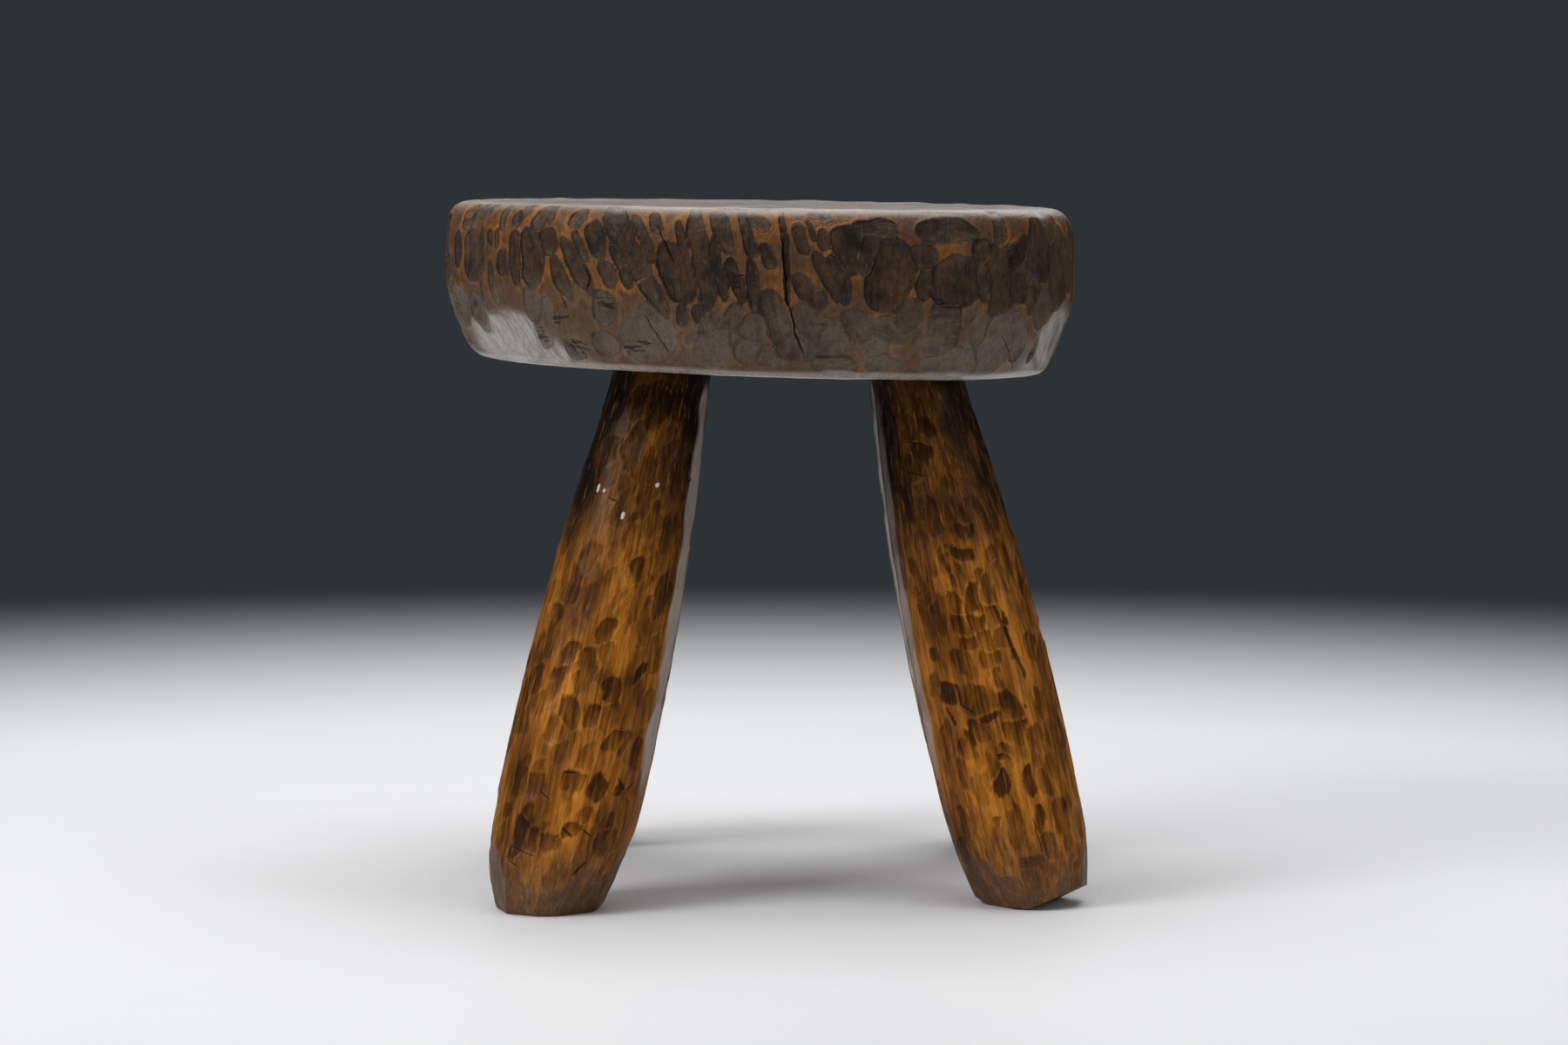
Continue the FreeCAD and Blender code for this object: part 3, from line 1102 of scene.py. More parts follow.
@dataclass
class SeatSlab:
    """The log slab: sizes of its blank, and how its faces are hewn.

    A band is a pair of places: where something has no share, and where it has its whole share.
    """

    width: float = 0.355
    depth: float = 0.346
    height: float = 0.380
    thickness: float = 0.092
    centre_x: float = -0.002
    top_fall: float = 0.8
    underside_fall: float = 2.0
    turns: int = 700
    underside_rows: int = 17
    softening: int = 4
    sharp: float = 60
    seed: int = 11
    outline_shares: tuple[float, ...] = (
        1.0, 0.992, 0.985, 0.997, 0.99, 0.982, 0.996, 1.0,
        0.996, 0.994, 1.0, 0.99, 0.996, 0.988, 0.996, 0.99,
    )
    rim: tuple[tuple[float, float, int], ...] = (
        (22.0, 0.0, 6),
        (14.5, 5.5, 13),
        (5.3, 23.0, 15),
        (0.4, 46.0, 19),
        (0.6, 75.0, 5),
        (2.2, 82.5, 4),
        (5.2, 87.4, 4),
        (9.6, 90.2, 4),
        (15.0, 91.6, 4),
        (22.0, 92.0, 34),
    )
    gouge: Gouge = Gouge(0.012, 2.3 * MM, 1.22, 1.1 * MM)
    bluntness: float = 2.7
    rim_drift: float = 0.9 * MM
    flat_drift: float = 1.2 * MM
    mirrored_within: float = 76
    highest_cut: float = 91
    side_runs: tuple[Span, ...] = ((82, 106), (252, 280))
    top_hollows: tuple[float, float, float] = (0.027, 0.05, 0.9 * MM)
    under_hollows: tuple[float, float, float] = (0.021, 0.06, 1.0 * MM)
    hollow_turn: float = 62
    hollow_turn_spread: float = 16
    flat_reach: float = 40
    lip_flat_height: float = 87.5
    unpared_middle: float = 80
    unpared_half: float = 40
    lip_inset: float = 9.6 * MM
    under_inset: float = 14.5 * MM
    crack_depth: float = 1.6 * MM
    crack_from: float = 0.44
    plain_edge: float = 4 * MM
    bore_reach: float = 19 * MM
    bore_share: float = 0.85
    leg_band: Span = (28 * MM, 36 * MM)
    rim_band: Span = (40 * MM, 26 * MM)
    top_band: Span = (9 * MM, 22 * MM)
    under_band: Span = (20 * MM, 30 * MM)
    flat_band: Span = (0.1 * MM, 1.8 * MM)
    flat_from: float = 0.3
    flat_slant: Span = (0.35, 0.94)
    lip_band: Span = (86.5 * MM, 91 * MM)
    unrubbed_band: Span = (12 * MM, 44 * MM)
    dull_angle: float = -58
    dull_band: Span = (46, 14)
    # Height band of the painted floor reflection along the lower edge
    glint_below_band: Span = (3.4 * MM, 0.6 * MM)
    # Height band of the painted floor reflection on the lower band
    floor_sheen_band: Span = (44 * MM, 26 * MM)
    shadow_side_top_band: Span = (89 * MM, 84 * MM)
    shadow_side_low_band: Span = (-6 * MM, 0.0)

    def level(self, x: Array | float, top: bool) -> Array | float:
        """Height of the top or of the underside at x from the slab's middle."""
        if top:
            return self.height - x * math.tan(math.radians(self.top_fall))
        return self.height - self.thickness - x * math.tan(math.radians(self.underside_fall))

    def reach(self, angle: Array) -> Array:
        """The outline's share of the slab's half size, smooth between the hewn corners.

        Args:
            angle: Angle from +X in radians.

        Returns:
            The share at each angle.
        """
        shares = np.array(self.outline_shares)
        place = (angle / FULL_TURN * len(shares)) % len(shares)
        before = np.floor(place).astype(int)
        part = place - before
        knots = [shares[(before + step) % len(shares)] for step in (-1, 0, 1, 2)]
        bend = 2 * knots[0] - 5 * knots[1] + 4 * knots[2] - knots[3]
        twist = 3 * (knots[1] - knots[2]) + knots[3] - knots[0]
        return knots[1] + 0.5 * part * (knots[2] - knots[0] + part * (bend + part * twist))

    def blank(self) -> Mesh:
        """The slab before carving, hewn to its outline and its two slopes."""
        half = self.width / 2
        outline = [(0.0, 0.0)]
        outline += [(half - inset * MM, rise * MM) for inset, rise, _ in self.rim]
        outline += [(0.0, self.thickness)]
        cuts = [self.underside_rows] + [rows - 1 for _, _, rows in self.rim]
        mesh = spun("seat_slab", outline, cuts, self.turns, self.softening)
        points = read_points(mesh)
        reach = self.reach(np.arctan2(points[:, 1], points[:, 0]))
        x = points[:, 0] * reach
        y = points[:, 1] * reach * self.depth / self.width
        low, high = self.level(x, False), self.level(x, True)
        share = points[:, 2] / self.thickness
        write_points(mesh, np.stack([self.centre_x + x, y, low + (high - low) * share], 1))
        return mesh

    def strokes(self) -> list[Stroke]:
        """The strokes round the rim: the front's, mirrored at the back and carried on at the sides."""
        chance = np.random.default_rng(self.seed)
        strokes = list(SEAT_STROKES)
        for stroke in SEAT_STROKES:
            if abs(stroke.angle_in) < self.mirrored_within:
                turned = chance.uniform(-1.0, 1.0)
                lift = chance.uniform(-2, 2)
                strokes.append(
                    Stroke(
                        180 - stroke.angle_in + turned,
                        min(stroke.height_in + lift, self.highest_cut),
                        180 - stroke.angle_out + turned,
                        stroke.height_out + lift,
                        stroke.width * chance.uniform(0.9, 1.1),
                        stroke.stain,
                    )
                )
        for first, last in self.side_runs:
            angle = float(first)
            while angle < last:
                lean = chance.uniform(-2, 4)
                width = chance.uniform(10, 16)
                top = chance.uniform(80, 90)
                middle = chance.uniform(52, 68)
                foot = chance.uniform(36, 46)
                stain = chance.uniform(0.45, 0.75)
                turned = angle + lean
                strokes.append(Stroke(angle, top, turned, middle - 3, width, stain))
                strokes.append(Stroke(turned, middle + 3, angle + 1.5 * lean, foot, width, stain * 0.9))
                angle += width / 3.0 * chance.uniform(0.85, 1.1)
            angle = first - 3.0
            while angle < last + 3:
                width = chance.uniform(14, 24)
                high = chance.uniform(30, 42)
                low = chance.uniform(6, 16)
                lean = chance.uniform(-3, 5)
                stain = chance.uniform(0.3, 0.55)
                strokes.append(Stroke(angle, high, angle + lean, low, width, stain))
                angle += width / 3.0 * chance.uniform(0.75, 1.0)
        return strokes

    def flat_scoops(self, spacing: float, length: float, depth: float, seed: int) -> list[Scoop]:
        """Adze hollows over a flat face, in uneven rows.

        Args:
            spacing: Distance between hollows.
            length: Length of a hollow.
            depth: Depth of a hollow.
            seed: Which scatter.

        Returns:
            The hollows.
        """
        chance = np.random.default_rng(seed)
        half = int(self.width / 2 / spacing) + 1
        steps = range(-half, half + 1)
        return [
            Scoop(
                across=(column + 0.5 * (row % 2) + chance.uniform(-0.3, 0.3)) * spacing,
                up=(row + chance.uniform(-0.3, 0.3)) * spacing,
                half_length=length / 2 * chance.uniform(0.8, 1.25),
                half_width=spacing * chance.uniform(0.55, 0.8),
                turn=math.radians(chance.normal(self.hollow_turn, self.hollow_turn_spread)),
                depth=depth * chance.uniform(0.6, 1.2),
                stain=chance.uniform(0.25, 0.6),
            )
            for row in steps
            for column in steps
        ]

    def lip_flats(self) -> list[Facet]:
        """Small flats all along the lip, where it was pared."""
        chance = np.random.default_rng(self.seed + 4)
        flats = []
        angle = -180.0
        while angle < 180:
            bite = chance.uniform(0.1, 0.6)
            if abs(abs(angle) - self.unpared_middle) > self.unpared_half:
                flats.append(Facet(angle, self.lip_flat_height, -chance.uniform(40, 66), bite))
            angle += chance.uniform(5, 12)
        return flats

    def hew(self, points: Array, angle: Array, flats: list[Facet]) -> tuple[Array, Array]:
        """Cuts flats one after another.

        Args:
            points: Every point's place.
            angle: Every point's angle from the front.
            flats: The flats.

        Returns:
            The points after the cuts, and the most that each was cut back.
        """
        deepest = np.zeros(len(points))
        insets, rises, _ = np.array(self.rim).T
        for flat in flats:
            turn = math.radians(flat.angle)
            inset = np.interp(flat.height, rises, insets) * MM
            x = (self.width / 2 - inset) * math.sin(turn)
            y = -(self.depth / 2 - inset) * math.cos(turn)
            spot = np.array([self.centre_x + x, y, self.level(x, False) + flat.height * MM])
            reached = np.abs(wrapped(angle - turn)) < math.radians(self.flat_reach)
            points, over = flat.shave(points, spot, reached)
            deepest = np.maximum(deepest, over)
        return points, deepest

    def spots(self, points: Array) -> SlabSpots:
        """Finds where points lie on the slab.

        Args:
            points: Every point's place.

        Returns:
            Where they lie.
        """
        x, y = points[:, 0] - self.centre_x, points[:, 1]
        angle = np.arctan2(x / self.width, -y / self.depth)
        low, high = self.level(x, False), self.level(x, True)
        rise = (points[:, 2] - low) / (high - low) * self.thickness
        inset = self.width / 2 - np.hypot(x / self.width, y / self.depth) * self.width
        upper = rise > self.thickness / 2
        over_lip = np.maximum(inset - self.lip_inset, 0)
        under_edge = np.maximum(inset - self.under_inset, 0)
        height = np.where(upper, rise + over_lip, rise - under_edge)
        return SlabSpots(x, y, angle, rise, inset, upper, height)

    def free(self, points: Array, at: SlabSpots, legs: list["ClubLeg"]) -> Array:
        """How freely each point may be cut: not at all in a mortise, and less close to a leg.

        Args:
            points: Every point's place.
            at: Where they lie on the slab.
            legs: What stands in the mortises.

        Returns:
            The share of a cut's depth that each point takes.
        """
        free = np.ones(len(points))
        for leg in legs:
            off = leg.off_axis(points)
            free *= np.where(at.upper, 1.0, ease(off, *self.leg_band))
            free *= (off >= self.bore_reach) | (at.rise >= self.thickness * self.bore_share)
        return free

    def wear(self, at: SlabSpots, plain: Array, sunk: Array) -> Array:
        """How far the lip is rubbed and painted with sheen: less away from the edge, at the left of the
        front and in hollows.

        Args:
            at: Where the points lie on the slab.
            plain: The share of the top or the underside at each point.
            sunk: How deep the hollows of the top and the underside are, in millimetres.

        Returns:
            The wear at each point, 0 to 1.
        """
        worn = ease(at.height, *self.lip_band) * (1 - 0.6 * ease(at.inset, *self.unrubbed_band))
        from_dull = np.abs(np.degrees(at.angle) - self.dull_angle)
        worn *= 1 - 0.72 * ease(from_dull, *self.dull_band) * (1 - 0.45 * plain)
        return worn * (1 - 0.6 * np.clip(sunk, 0, 1))

    def carve(self, mesh: Mesh, legs: list["ClubLeg"]) -> None:
        """Cuts the tool marks, flats and cracks into the slab and keeps what the finish needs.

        Args:
            mesh: The slab, with its mortises.
            legs: What stands in the mortises.
        """
        points = read_points(mesh)
        normals = read_points(mesh, "normal")
        at = self.spots(points)
        half = self.width / 2
        face = Face(at.angle, at.height, half)
        on_rim = ease(at.inset, *self.rim_band)
        on_top = ease(at.inset, *self.top_band) * at.upper
        on_below = ease(at.inset, *self.under_band) * ~at.upper
        plain = np.clip(on_top + on_below, 0, 1)

        rim_scoops = [stroke.scoop(half, self.gouge) for stroke in self.strokes()]
        waver = Waver(self.seed, self.rim_drift)
        rim = Carving(rim_scoops, True, waver, self.bluntness).cut(at.angle, at.height, half)
        wander = Waver(self.seed + 3, self.flat_drift)
        top = Carving(self.flat_scoops(*self.top_hollows, self.seed + 1), False, wander).cut(at.x, at.y)
        below = Carving(self.flat_scoops(*self.under_hollows, self.seed + 2), False, wander).cut(at.x, at.y)
        hollows = top.depth * on_top + below.depth * on_below
        depth = (rim.depth * on_rim + hollows) * self.free(points, at, legs)
        split = opened(SEAT_CHECKS, face) * on_rim
        carved = points - normals * (depth + split * self.crack_depth)[:, None]
        carved, shaved = self.hew(carved, at.angle, SEAT_FACETS)
        carved, _ = self.hew(carved, at.angle, self.lip_flats())
        write_points(mesh, carved)

        sunk = hollows / MM
        flatness = ease(shaved, *self.flat_band)
        sine, cosine = self.flat_slant
        along = at.angle * half * sine - at.height * cosine
        beside = at.angle * half * cosine + at.height * sine
        slant = np.stack([along, beside, -at.height], 1)
        # Painted reflection of the floor: a pale line along the lower edge, laid on with the lip's colour
        # and coat
        glint_below = 0.9 * ease(at.height, *self.glint_below_band) * on_rim
        torn = np.max([patch.strength(face) for patch in SEAT_TORN], axis=0)
        degrees = np.degrees(at.angle)
        left_end = 0.3 * ease(degrees, -44, -60)
        # Lifts the painted floor reflection higher on the left
        lift = 9 * MM * ease(degrees, -12, -34)
        keep_marks(
            mesh,
            {
                "cut": (rim.edge * (1 - plain) + self.plain_edge * plain) / MM,
                # On the top and the underside the stain grows with the adze hollows' depth: painted shade in
                # the hollows
                "stain": rim.stain * (1 - plain) + (0.12 + 0.5 * sunk) * plain,
                # The side of each rim cut that is painted in shadow, faded out over the lip and under the
                # lower edge
                "shadow_side": rim.shadow_side * ease(at.height, *self.shadow_side_top_band) * ease(at.height, *self.shadow_side_low_band),
                "plain": plain,
                "track": np.where(flatness[:, None] > self.flat_from, slant, rim.track),
                # Wear and painted sheen on the lip, and the painted floor reflection along the lower edge
                "worn": np.maximum(self.wear(at, plain, sunk), glint_below),
                # Where the hewn flats lie, which the finish paints with the floor's reflection
                "flat": 0.8 * flatness,
                "split": split,
                # Painted floor reflection on the lower band, and a greyer tone at the left end
                "low": np.maximum(ease(at.height - lift, *self.floor_sheen_band), left_end * (1 - plain)),
                "torn": torn * on_rim,
            },
        )
        show_smooth(mesh, self.sharp)

    def refine(self, mesh: Mesh) -> None:
        """Divides the mesh more finely along the cracks.

        Args:
            mesh: The slab.
        """
        points = read_points(mesh)
        x, y = points[:, 0] - self.centre_x, points[:, 1]
        angle = np.arctan2(x / self.width, -y / self.depth)
        face = Face(angle, points[:, 2] - self.level(x, False), self.width / 2)
        divide_along(mesh, face, SEAT_CHECKS, np.hypot(x / self.width, y / self.depth) > self.crack_from)

    def build(self, legs: list["ClubLeg"]) -> bpy.types.Object:
        """Makes the slab with a mortise for each leg.

        Args:
            legs: What stands in the mortises.

        Returns:
            The slab.
        """
        piece = new_piece("seat_slab", self.blank())
        bores = bmesh.new()
        for leg in legs:
            leg.bore(bores)
        cut_away(piece, to_mesh(bores, "bores"))
        self.refine(piece.data)
        self.carve(piece.data, legs)
        return piece

    def dress(self, piece: bpy.types.Object, finish: bpy.types.Material) -> None:
        """Gives the slab its finish and its place in the frame."""
        piece.data.materials.append(finish)
        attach(piece, BODY)
        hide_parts("seat")


FRONT_LEFT_STROKES = rows_of(
    Stroke,
    (
        # Dark upper third
        (-45, 284, -46, 262, 12, 0.8), (-20, 282, -22, 262, 14, 0.8), (5, 284, 4, 258, 14, 0.75),
        (30, 284, 29, 262, 13, 0.6), (52, 282, 52, 258, 11, 0.5), (-12, 262, -14, 235, 13, 0.6),
        (-35, 258, -37, 236, 13, 0.55), (28, 255, 27, 225, 13, 0.5), (10, 250, 8, 205, 16, 0.6),
        (45, 250, 45, 220, 12, 0.45), (-50, 240, -52, 215, 11, 0.4), (-5, 232, -7, 212, 12, 0.4),
        (20, 222, 19, 200, 11, 0.5), (40, 215, 40, 192, 11, 0.5),
        # Middle
        (-28, 200, -29, 180, 12, 0.4), (17, 193, 17, 175, 11, 0.65), (-4, 190, -5, 172, 10, 0.35),
        (24, 187, 25, 157, 8, 0.6), (-37, 186, -38, 164, 12, 0.5), (44, 182, 45, 154, 13, 0.6),
        (-58, 182, -60, 164, 10, 0.35), (-15, 176, -17, 158, 11, 0.35), (8, 173, 8, 160, 9, 0.4),
        (33, 170, 34, 142, 11, 0.5), (-49, 165, -50, 151, 10, 0.6), (2, 158, 3, 146, 15, 0.68),
        (4, 150, 5, 124, 13, 0.55), (48, 150, 48, 128, 12, 0.55), (-60, 150, -62, 130, 11, 0.45),
        (-24, 148, -26, 131, 11, 0.6), (-8, 146, -10, 118, 12, 0.55), (-51, 136, -53, 116, 13, 0.55),
        (38, 134, 37, 121, 9, 0.75), (-30, 133, -33, 112, 13, 0.5), (14, 128, 14, 114, 11, 0.7),
        (-43, 120, -45, 106, 12, 0.5), (54, 120, 54, 98, 11, 0.5), (-12, 119, -15, 101, 14, 0.7),
        (21, 116, 20, 107, 7, 0.6), (8, 114, 7, 100, 11, 0.6), (-58, 110, -60, 92, 11, 0.45),
        (-22, 108, -25, 90, 14, 0.45), (27, 101, 26, 87, 11, 0.65), (34, 100, 34, 86, 9, 0.6),
        # Belly and foot
        (-14, 95, -15, 80, 13, 0.4), (50, 95, 49, 76, 11, 0.55), (-45, 82, -47, 64, 11, 0.5),
        (-30, 80, -31, 62, 12, 0.4), (2, 79, 1, 66, 14, 0.6), (23, 78, 22, 61, 13, 0.7),
        (43, 71, 42, 61, 9, 0.7), (-55, 62, -57, 48, 10, 0.5), (15, 60, 14, 48, 12, 0.45),
        (36, 56, 35, 44, 10, 0.5), (-33, 54, -36, 31, 12, 0.9), (8, 51, 9, 43, 15, 0.72),
        (-23, 48, -24, 35, 13, 0.5), (-8, 47, -8, 37, 14, 0.55),
    ),
)

FRONT_RIGHT_STROKES = rows_of(
    Stroke,
    (
        # Dark upper third
        (-5, 268, -5, 256, 12, 0.7), (-25, 268, -25, 252, 12, 0.6), (-45, 262, -45, 240, 11, 0.6),
        (32, 260, 32, 240, 9, 0.4), (-10, 252, -10, 240, 13, 0.7), (12, 250, 12, 232, 11, 0.5),
        (-30, 245, -30, 228, 13, 0.6), (48, 240, 48, 215, 10, 0.4), (5, 235, 5, 215, 12, 0.5),
        (-18, 226, -18, 200, 12, 0.5), (28, 225, 28, 206, 10, 0.45), (-40, 225, -40, 205, 11, 0.5),
        (11, 211, 11, 199, 11, 0.65), (46, 211, 46, 201, 8, 0.6), (-30, 205, -30, 180, 12, 0.45),
        # Middle
        (6, 194.5, 6, 187, 13, 0.8), (-10, 191, -10, 179, 9, 0.6), (36, 190, 37, 170, 9, 0.55),
        (-45, 190, -45, 165, 11, 0.45), (17, 186, 17, 172, 10, 0.65), (-10, 183, -10, 171, 8, 0.6),
        (22, 182, 22, 163, 12, 0.55), (2.5, 178, 3.5, 159, 11, 0.75), (-13, 171, -11, 159, 11, 0.7),
        (-26, 170, -26, 147, 10, 0.5), (18, 167, 18, 149, 12, 0.55), (22, 167, 38, 125, 6, 0.9),
        (4.5, 164, 5, 150, 11, 0.7), (-11, 163, -11, 147, 10, 0.6), (24, 153, 24, 141, 11, 0.6),
        (6, 151, 6, 139, 12, 0.6), (48, 150, 48, 132, 9, 0.5), (-8, 150, -8, 139, 8, 0.6),
        (8, 143, 8, 129, 15, 0.6), (-15, 142, -15, 124, 12, 0.5), (-42, 142, -42, 133, 10, 0.85),
        (12, 131, 12, 115, 9, 0.6), (-48, 128, -48, 110, 10, 0.5), (-33, 122.5, -33, 109, 17, 0.85),
        (-10, 122, -10, 104, 11, 0.55), (44, 120, 44, 100, 10, 0.5), (14, 119, 14, 99, 14, 0.6),
        (30, 116.5, 30, 108, 6, 0.8), (-35, 109, -29, 97, 7, 0.85), (-3, 108.5, -3, 101, 11, 0.9),
        (16, 107, 16, 90, 12, 0.6), (-45, 105, -44, 88, 10, 0.5), (-12, 103, -11, 88, 11, 0.6),
        (34, 100, 34, 82, 10, 0.5),
        # Belly and foot
        (-21, 96, -21, 87, 9, 0.9), (2, 92, 2, 84, 8, 0.6), (-30, 91, -28, 80, 10, 0.55),
        (-35, 86, -34, 64, 8, 0.7), (-2, 86, -2, 82, 10, 0.6), (18, 81, 18, 59, 9.5, 0.95),
        (30, 78, 30, 60, 10, 0.5), (-5, 76.5, -5, 61, 11, 0.95), (-25, 75, -24, 58, 11, 0.4),
        (42, 61, 41, 41, 14, 0.6), (21, 57, 21, 43, 9, 0.7), (-14, 51.5, -14, 43, 8, 0.7),
        (26, 46, 26, 25, 13, 0.6), (45, 45, 45, 30, 10, 0.5), (7, 30, 6, 22, 18, 0.5),
    ),
)


@dataclass
class ClubLeg:
    """One splayed club leg with its tenon, its kerf, its tool marks and its knife-cut foot.

    A band is a pair of places: where something has no share, and where it has its whole share.
    """

    name: str
    side: int
    end: int
    stout: float
    seed: int
    facets: tuple[Facet, ...]
    strokes: tuple[Stroke, ...] = ()
    scratches: tuple[Check, ...] = ()
    drops: tuple[Patch, ...] = ()
    bare_from: float = 62.0
    middle_x: float = 0.0155
    neck_half_x: float = 0.070
    neck_half_y: float = 0.068
    belly: float = 0.080
    belly_height: float = 0.085
    neck: float = 0.052
    foot: float = 0.061
    foot_draw: int = 3
    neck_draw: int = 2
    fit_draw: int = 8
    tenon: float = 0.036
    tenon_length: float = 0.058
    mortise_room: float = 0.15 * MM
    bore_sides: int = 72
    wedge_length: float = 0.040
    wedge_stand: float = 0.003
    wedge_back: float = 0.006
    wedge_tip: float = 0.0015
    wedge_room: float = 0.1 * MM
    kerf_overrun: float = 0.004
    turns: int = 240
    rows: int = 262
    foot_rows: int = 14
    shoulder_rows: int = 6
    tenon_rows: int = 16
    tip_rows: int = 6
    sharp: float = 50
    gouge: Gouge = Gouge(0.018, 1.1 * MM, 1.1)
    faint_gouge: Gouge = Gouge(0.018, 0.35 * MM, 1.1)
    faint_below: float = 0.35
    drawknife: Gouge = Gouge(0.05, 0.9 * MM)
    stroke_radius_share: float = 0.95
    first_row: float = 12.0
    last_row: float = 286
    drift: float = 1.8 * MM
    shortest_drift: float = 0.009
    shave_drift: float = 0.8 * MM
    scratch_depth: float = 0.5 * MM
    skin_share: float = 0.97
    skin_over: float = 3 * MM
    foot_top: float = 0.1
    inner_angle: float = 71.0
    inner_bite: float = 1.5 * MM
    strip_sheen_share: float = 1.0
    inner_band: Span = (9, 24)
    foot_band: Span = (1 * MM, 6 * MM)
    neck_band: Span = (1 * MM, 12 * MM)
    strip_band: Span = (0.03, 0.1)
    strip_end: float = 0.02
    flat_band: Span = (0.15 * MM, 0.9 * MM)
    strip_sheen_band: Span = (0.05 * MM, 0.9 * MM)
    rubbed_band: Span = (0.05, 0.012)

    @property
    def foot_middle(self) -> Array:
        """Middle of the foot on the floor, from the frame's own mount."""
        mounts = frame["record"]["mounts"]
        return np.array(next(m["pos_m"] for m in mounts if m["name"] == "foot_" + self.name), float)

    @property
    def neck_middle(self) -> Array:
        """Where the axis meets the slab's underside."""
        slab = SeatSlab()
        x = self.middle_x + self.side * self.neck_half_x
        return np.array([x, self.end * self.neck_half_y, slab.level(x - slab.centre_x, False)])

    @property
    def axis(self) -> Vector:
        """The way that the leg points, from its foot to the seat."""
        return Vector(self.neck_middle - self.foot_middle).normalized()

    @property
    def stand(self) -> Matrix:
        """Stands an upright form, made from Z 0, on the leg's axis at the slab's underside."""
        turn = Vector((0, 0, 1)).rotation_difference(self.axis).to_matrix().to_4x4()
        return Matrix.Translation(Vector(self.neck_middle)) @ turn

    def middles(self, height: Array) -> Array:
        """The axis's place at each height."""
        foot, neck = self.foot_middle, self.neck_middle
        return foot + np.outer(height / neck[2], neck - foot)

    def off_axis(self, points: Array) -> Array:
        """Each point's distance from the leg's axis."""
        away = points - self.neck_middle
        axis = np.array(self.axis)
        return np.linalg.norm(away - np.outer(away @ axis, axis), axis=1)

    def radius(self, height: Array) -> Array:
        """Half width of the leg at a height: widest at the belly, drawn in to the foot and the neck.

        Args:
            height: Heights above the floor.

        Returns:
            The half width at each.
        """
        tall = self.neck_middle[2]
        low = np.clip((self.belly_height - height) / self.belly_height, 0, 1) ** self.foot_draw
        high = np.clip((height - self.belly_height) / (tall - self.belly_height), 0, 1) ** self.neck_draw
        drawn = (self.belly - self.foot) * low + (self.belly - self.neck) * high
        return self.stout * (self.belly - drawn) / 2

    def bore(self, form: bmesh.types.BMesh) -> None:
        """Adds the mortise's shape to a form.

        Args:
            form: What it is added to.
        """
        depth = self.tenon_length + self.wedge_stand
        overrun = self.tenon
        wide = self.tenon / 2 + self.mortise_room
        lift = Matrix.Translation((0, 0, (depth - overrun) / 2))
        bmesh.ops.create_cone(
            form,
            cap_ends=True,
            segments=self.bore_sides,
            radius1=wide,
            radius2=wide,
            depth=depth + overrun,
            matrix=self.stand @ lift,
        )

    def kerf(self) -> Mesh:
        """The sawn kerf in the tenon's end, opened by its wedge."""
        back = self.tenon_length + self.wedge_stand
        growth = (self.wedge_back - self.wedge_tip) / self.wedge_length
        root = back - self.wedge_length - self.kerf_overrun
        thin = self.wedge_tip - growth * self.kerf_overrun + 2 * self.wedge_room
        thick = self.wedge_back + 2 * self.wedge_room
        form = bmesh.new()
        bmesh.ops.create_cube(form, size=1.0)
        for vert in form.verts:
            upper = vert.co.z > 0
            vert.co.x *= 2 * self.tenon
            vert.co.y *= thick if upper else thin
            vert.co.z = back if upper else root
        bmesh.ops.transform(form, matrix=self.stand, verts=form.verts)
        return to_mesh(form, "kerf")

    def blank(self) -> Mesh:
        """The leg before carving: a spun club, leant over to its splay, its tenon square on its axis."""
        tall = self.neck_middle[2]
        neck = self.stout * self.neck / 2
        bore = self.tenon / 2
        tip = tall + self.tenon_length
        outline = [(0.0, 0.0), (1.0, 0.0), (1.0, tall), (bore, tall), (bore, tip), (0.0, tip)]
        cuts = [self.foot_rows, self.rows, self.shoulder_rows, self.tenon_rows, self.tip_rows]
        mesh = spun("leg_" + self.name, outline, cuts, self.turns, softening=0)
        points = read_points(mesh)
        across = np.hypot(points[:, 0], points[:, 1])
        turn = np.arctan2(points[:, 1], points[:, 0])
        height = points[:, 2]
        tenon = (across <= bore + TOUCHING) & (height > tall - TOUCHING)
        shoulder = (height > tall - TOUCHING) & ~tenon
        spread = np.where(shoulder, (across - bore) / (1.0 - bore), 0.0)
        wide = across * self.radius(height)
        wide = np.where(shoulder, bore + spread * (neck - bore), wide)
        wide = np.where(tenon, across, wide)

        ring = np.stack([wide * np.cos(turn), wide * np.sin(turn), 0 * wide], 1)
        body = self.middles(height) + ring
        slab = SeatSlab()
        seat_plane = slab.level(body[:, 0] - slab.centre_x, False)
        body[:, 2] += np.clip(height / tall, 0, 1) ** self.fit_draw * (seat_plane - tall)

        local = np.stack([ring[:, 0], ring[:, 1], height - tall, np.ones(len(wide))], 1)
        upright = (local @ np.array(self.stand).T)[:, :3]
        axis = np.array(self.axis)
        root = tenon & (height < tall + TOUCHING)
        plane = slab.level(upright[:, 0] - slab.centre_x, False)
        slide = (plane - upright[:, 2]) / axis[2]
        upright = upright + np.where(root, slide, 0.0)[:, None] * axis
        on_shoulder = upright + ((plane - upright[:, 2]) / axis[2])[:, None] * axis
        blend = spread[:, None]
        placed = np.where(tenon[:, None], upright, body)
        placed = np.where(shoulder[:, None], on_shoulder * (1 - blend) + body * blend, placed)
        write_points(mesh, placed)
        return mesh

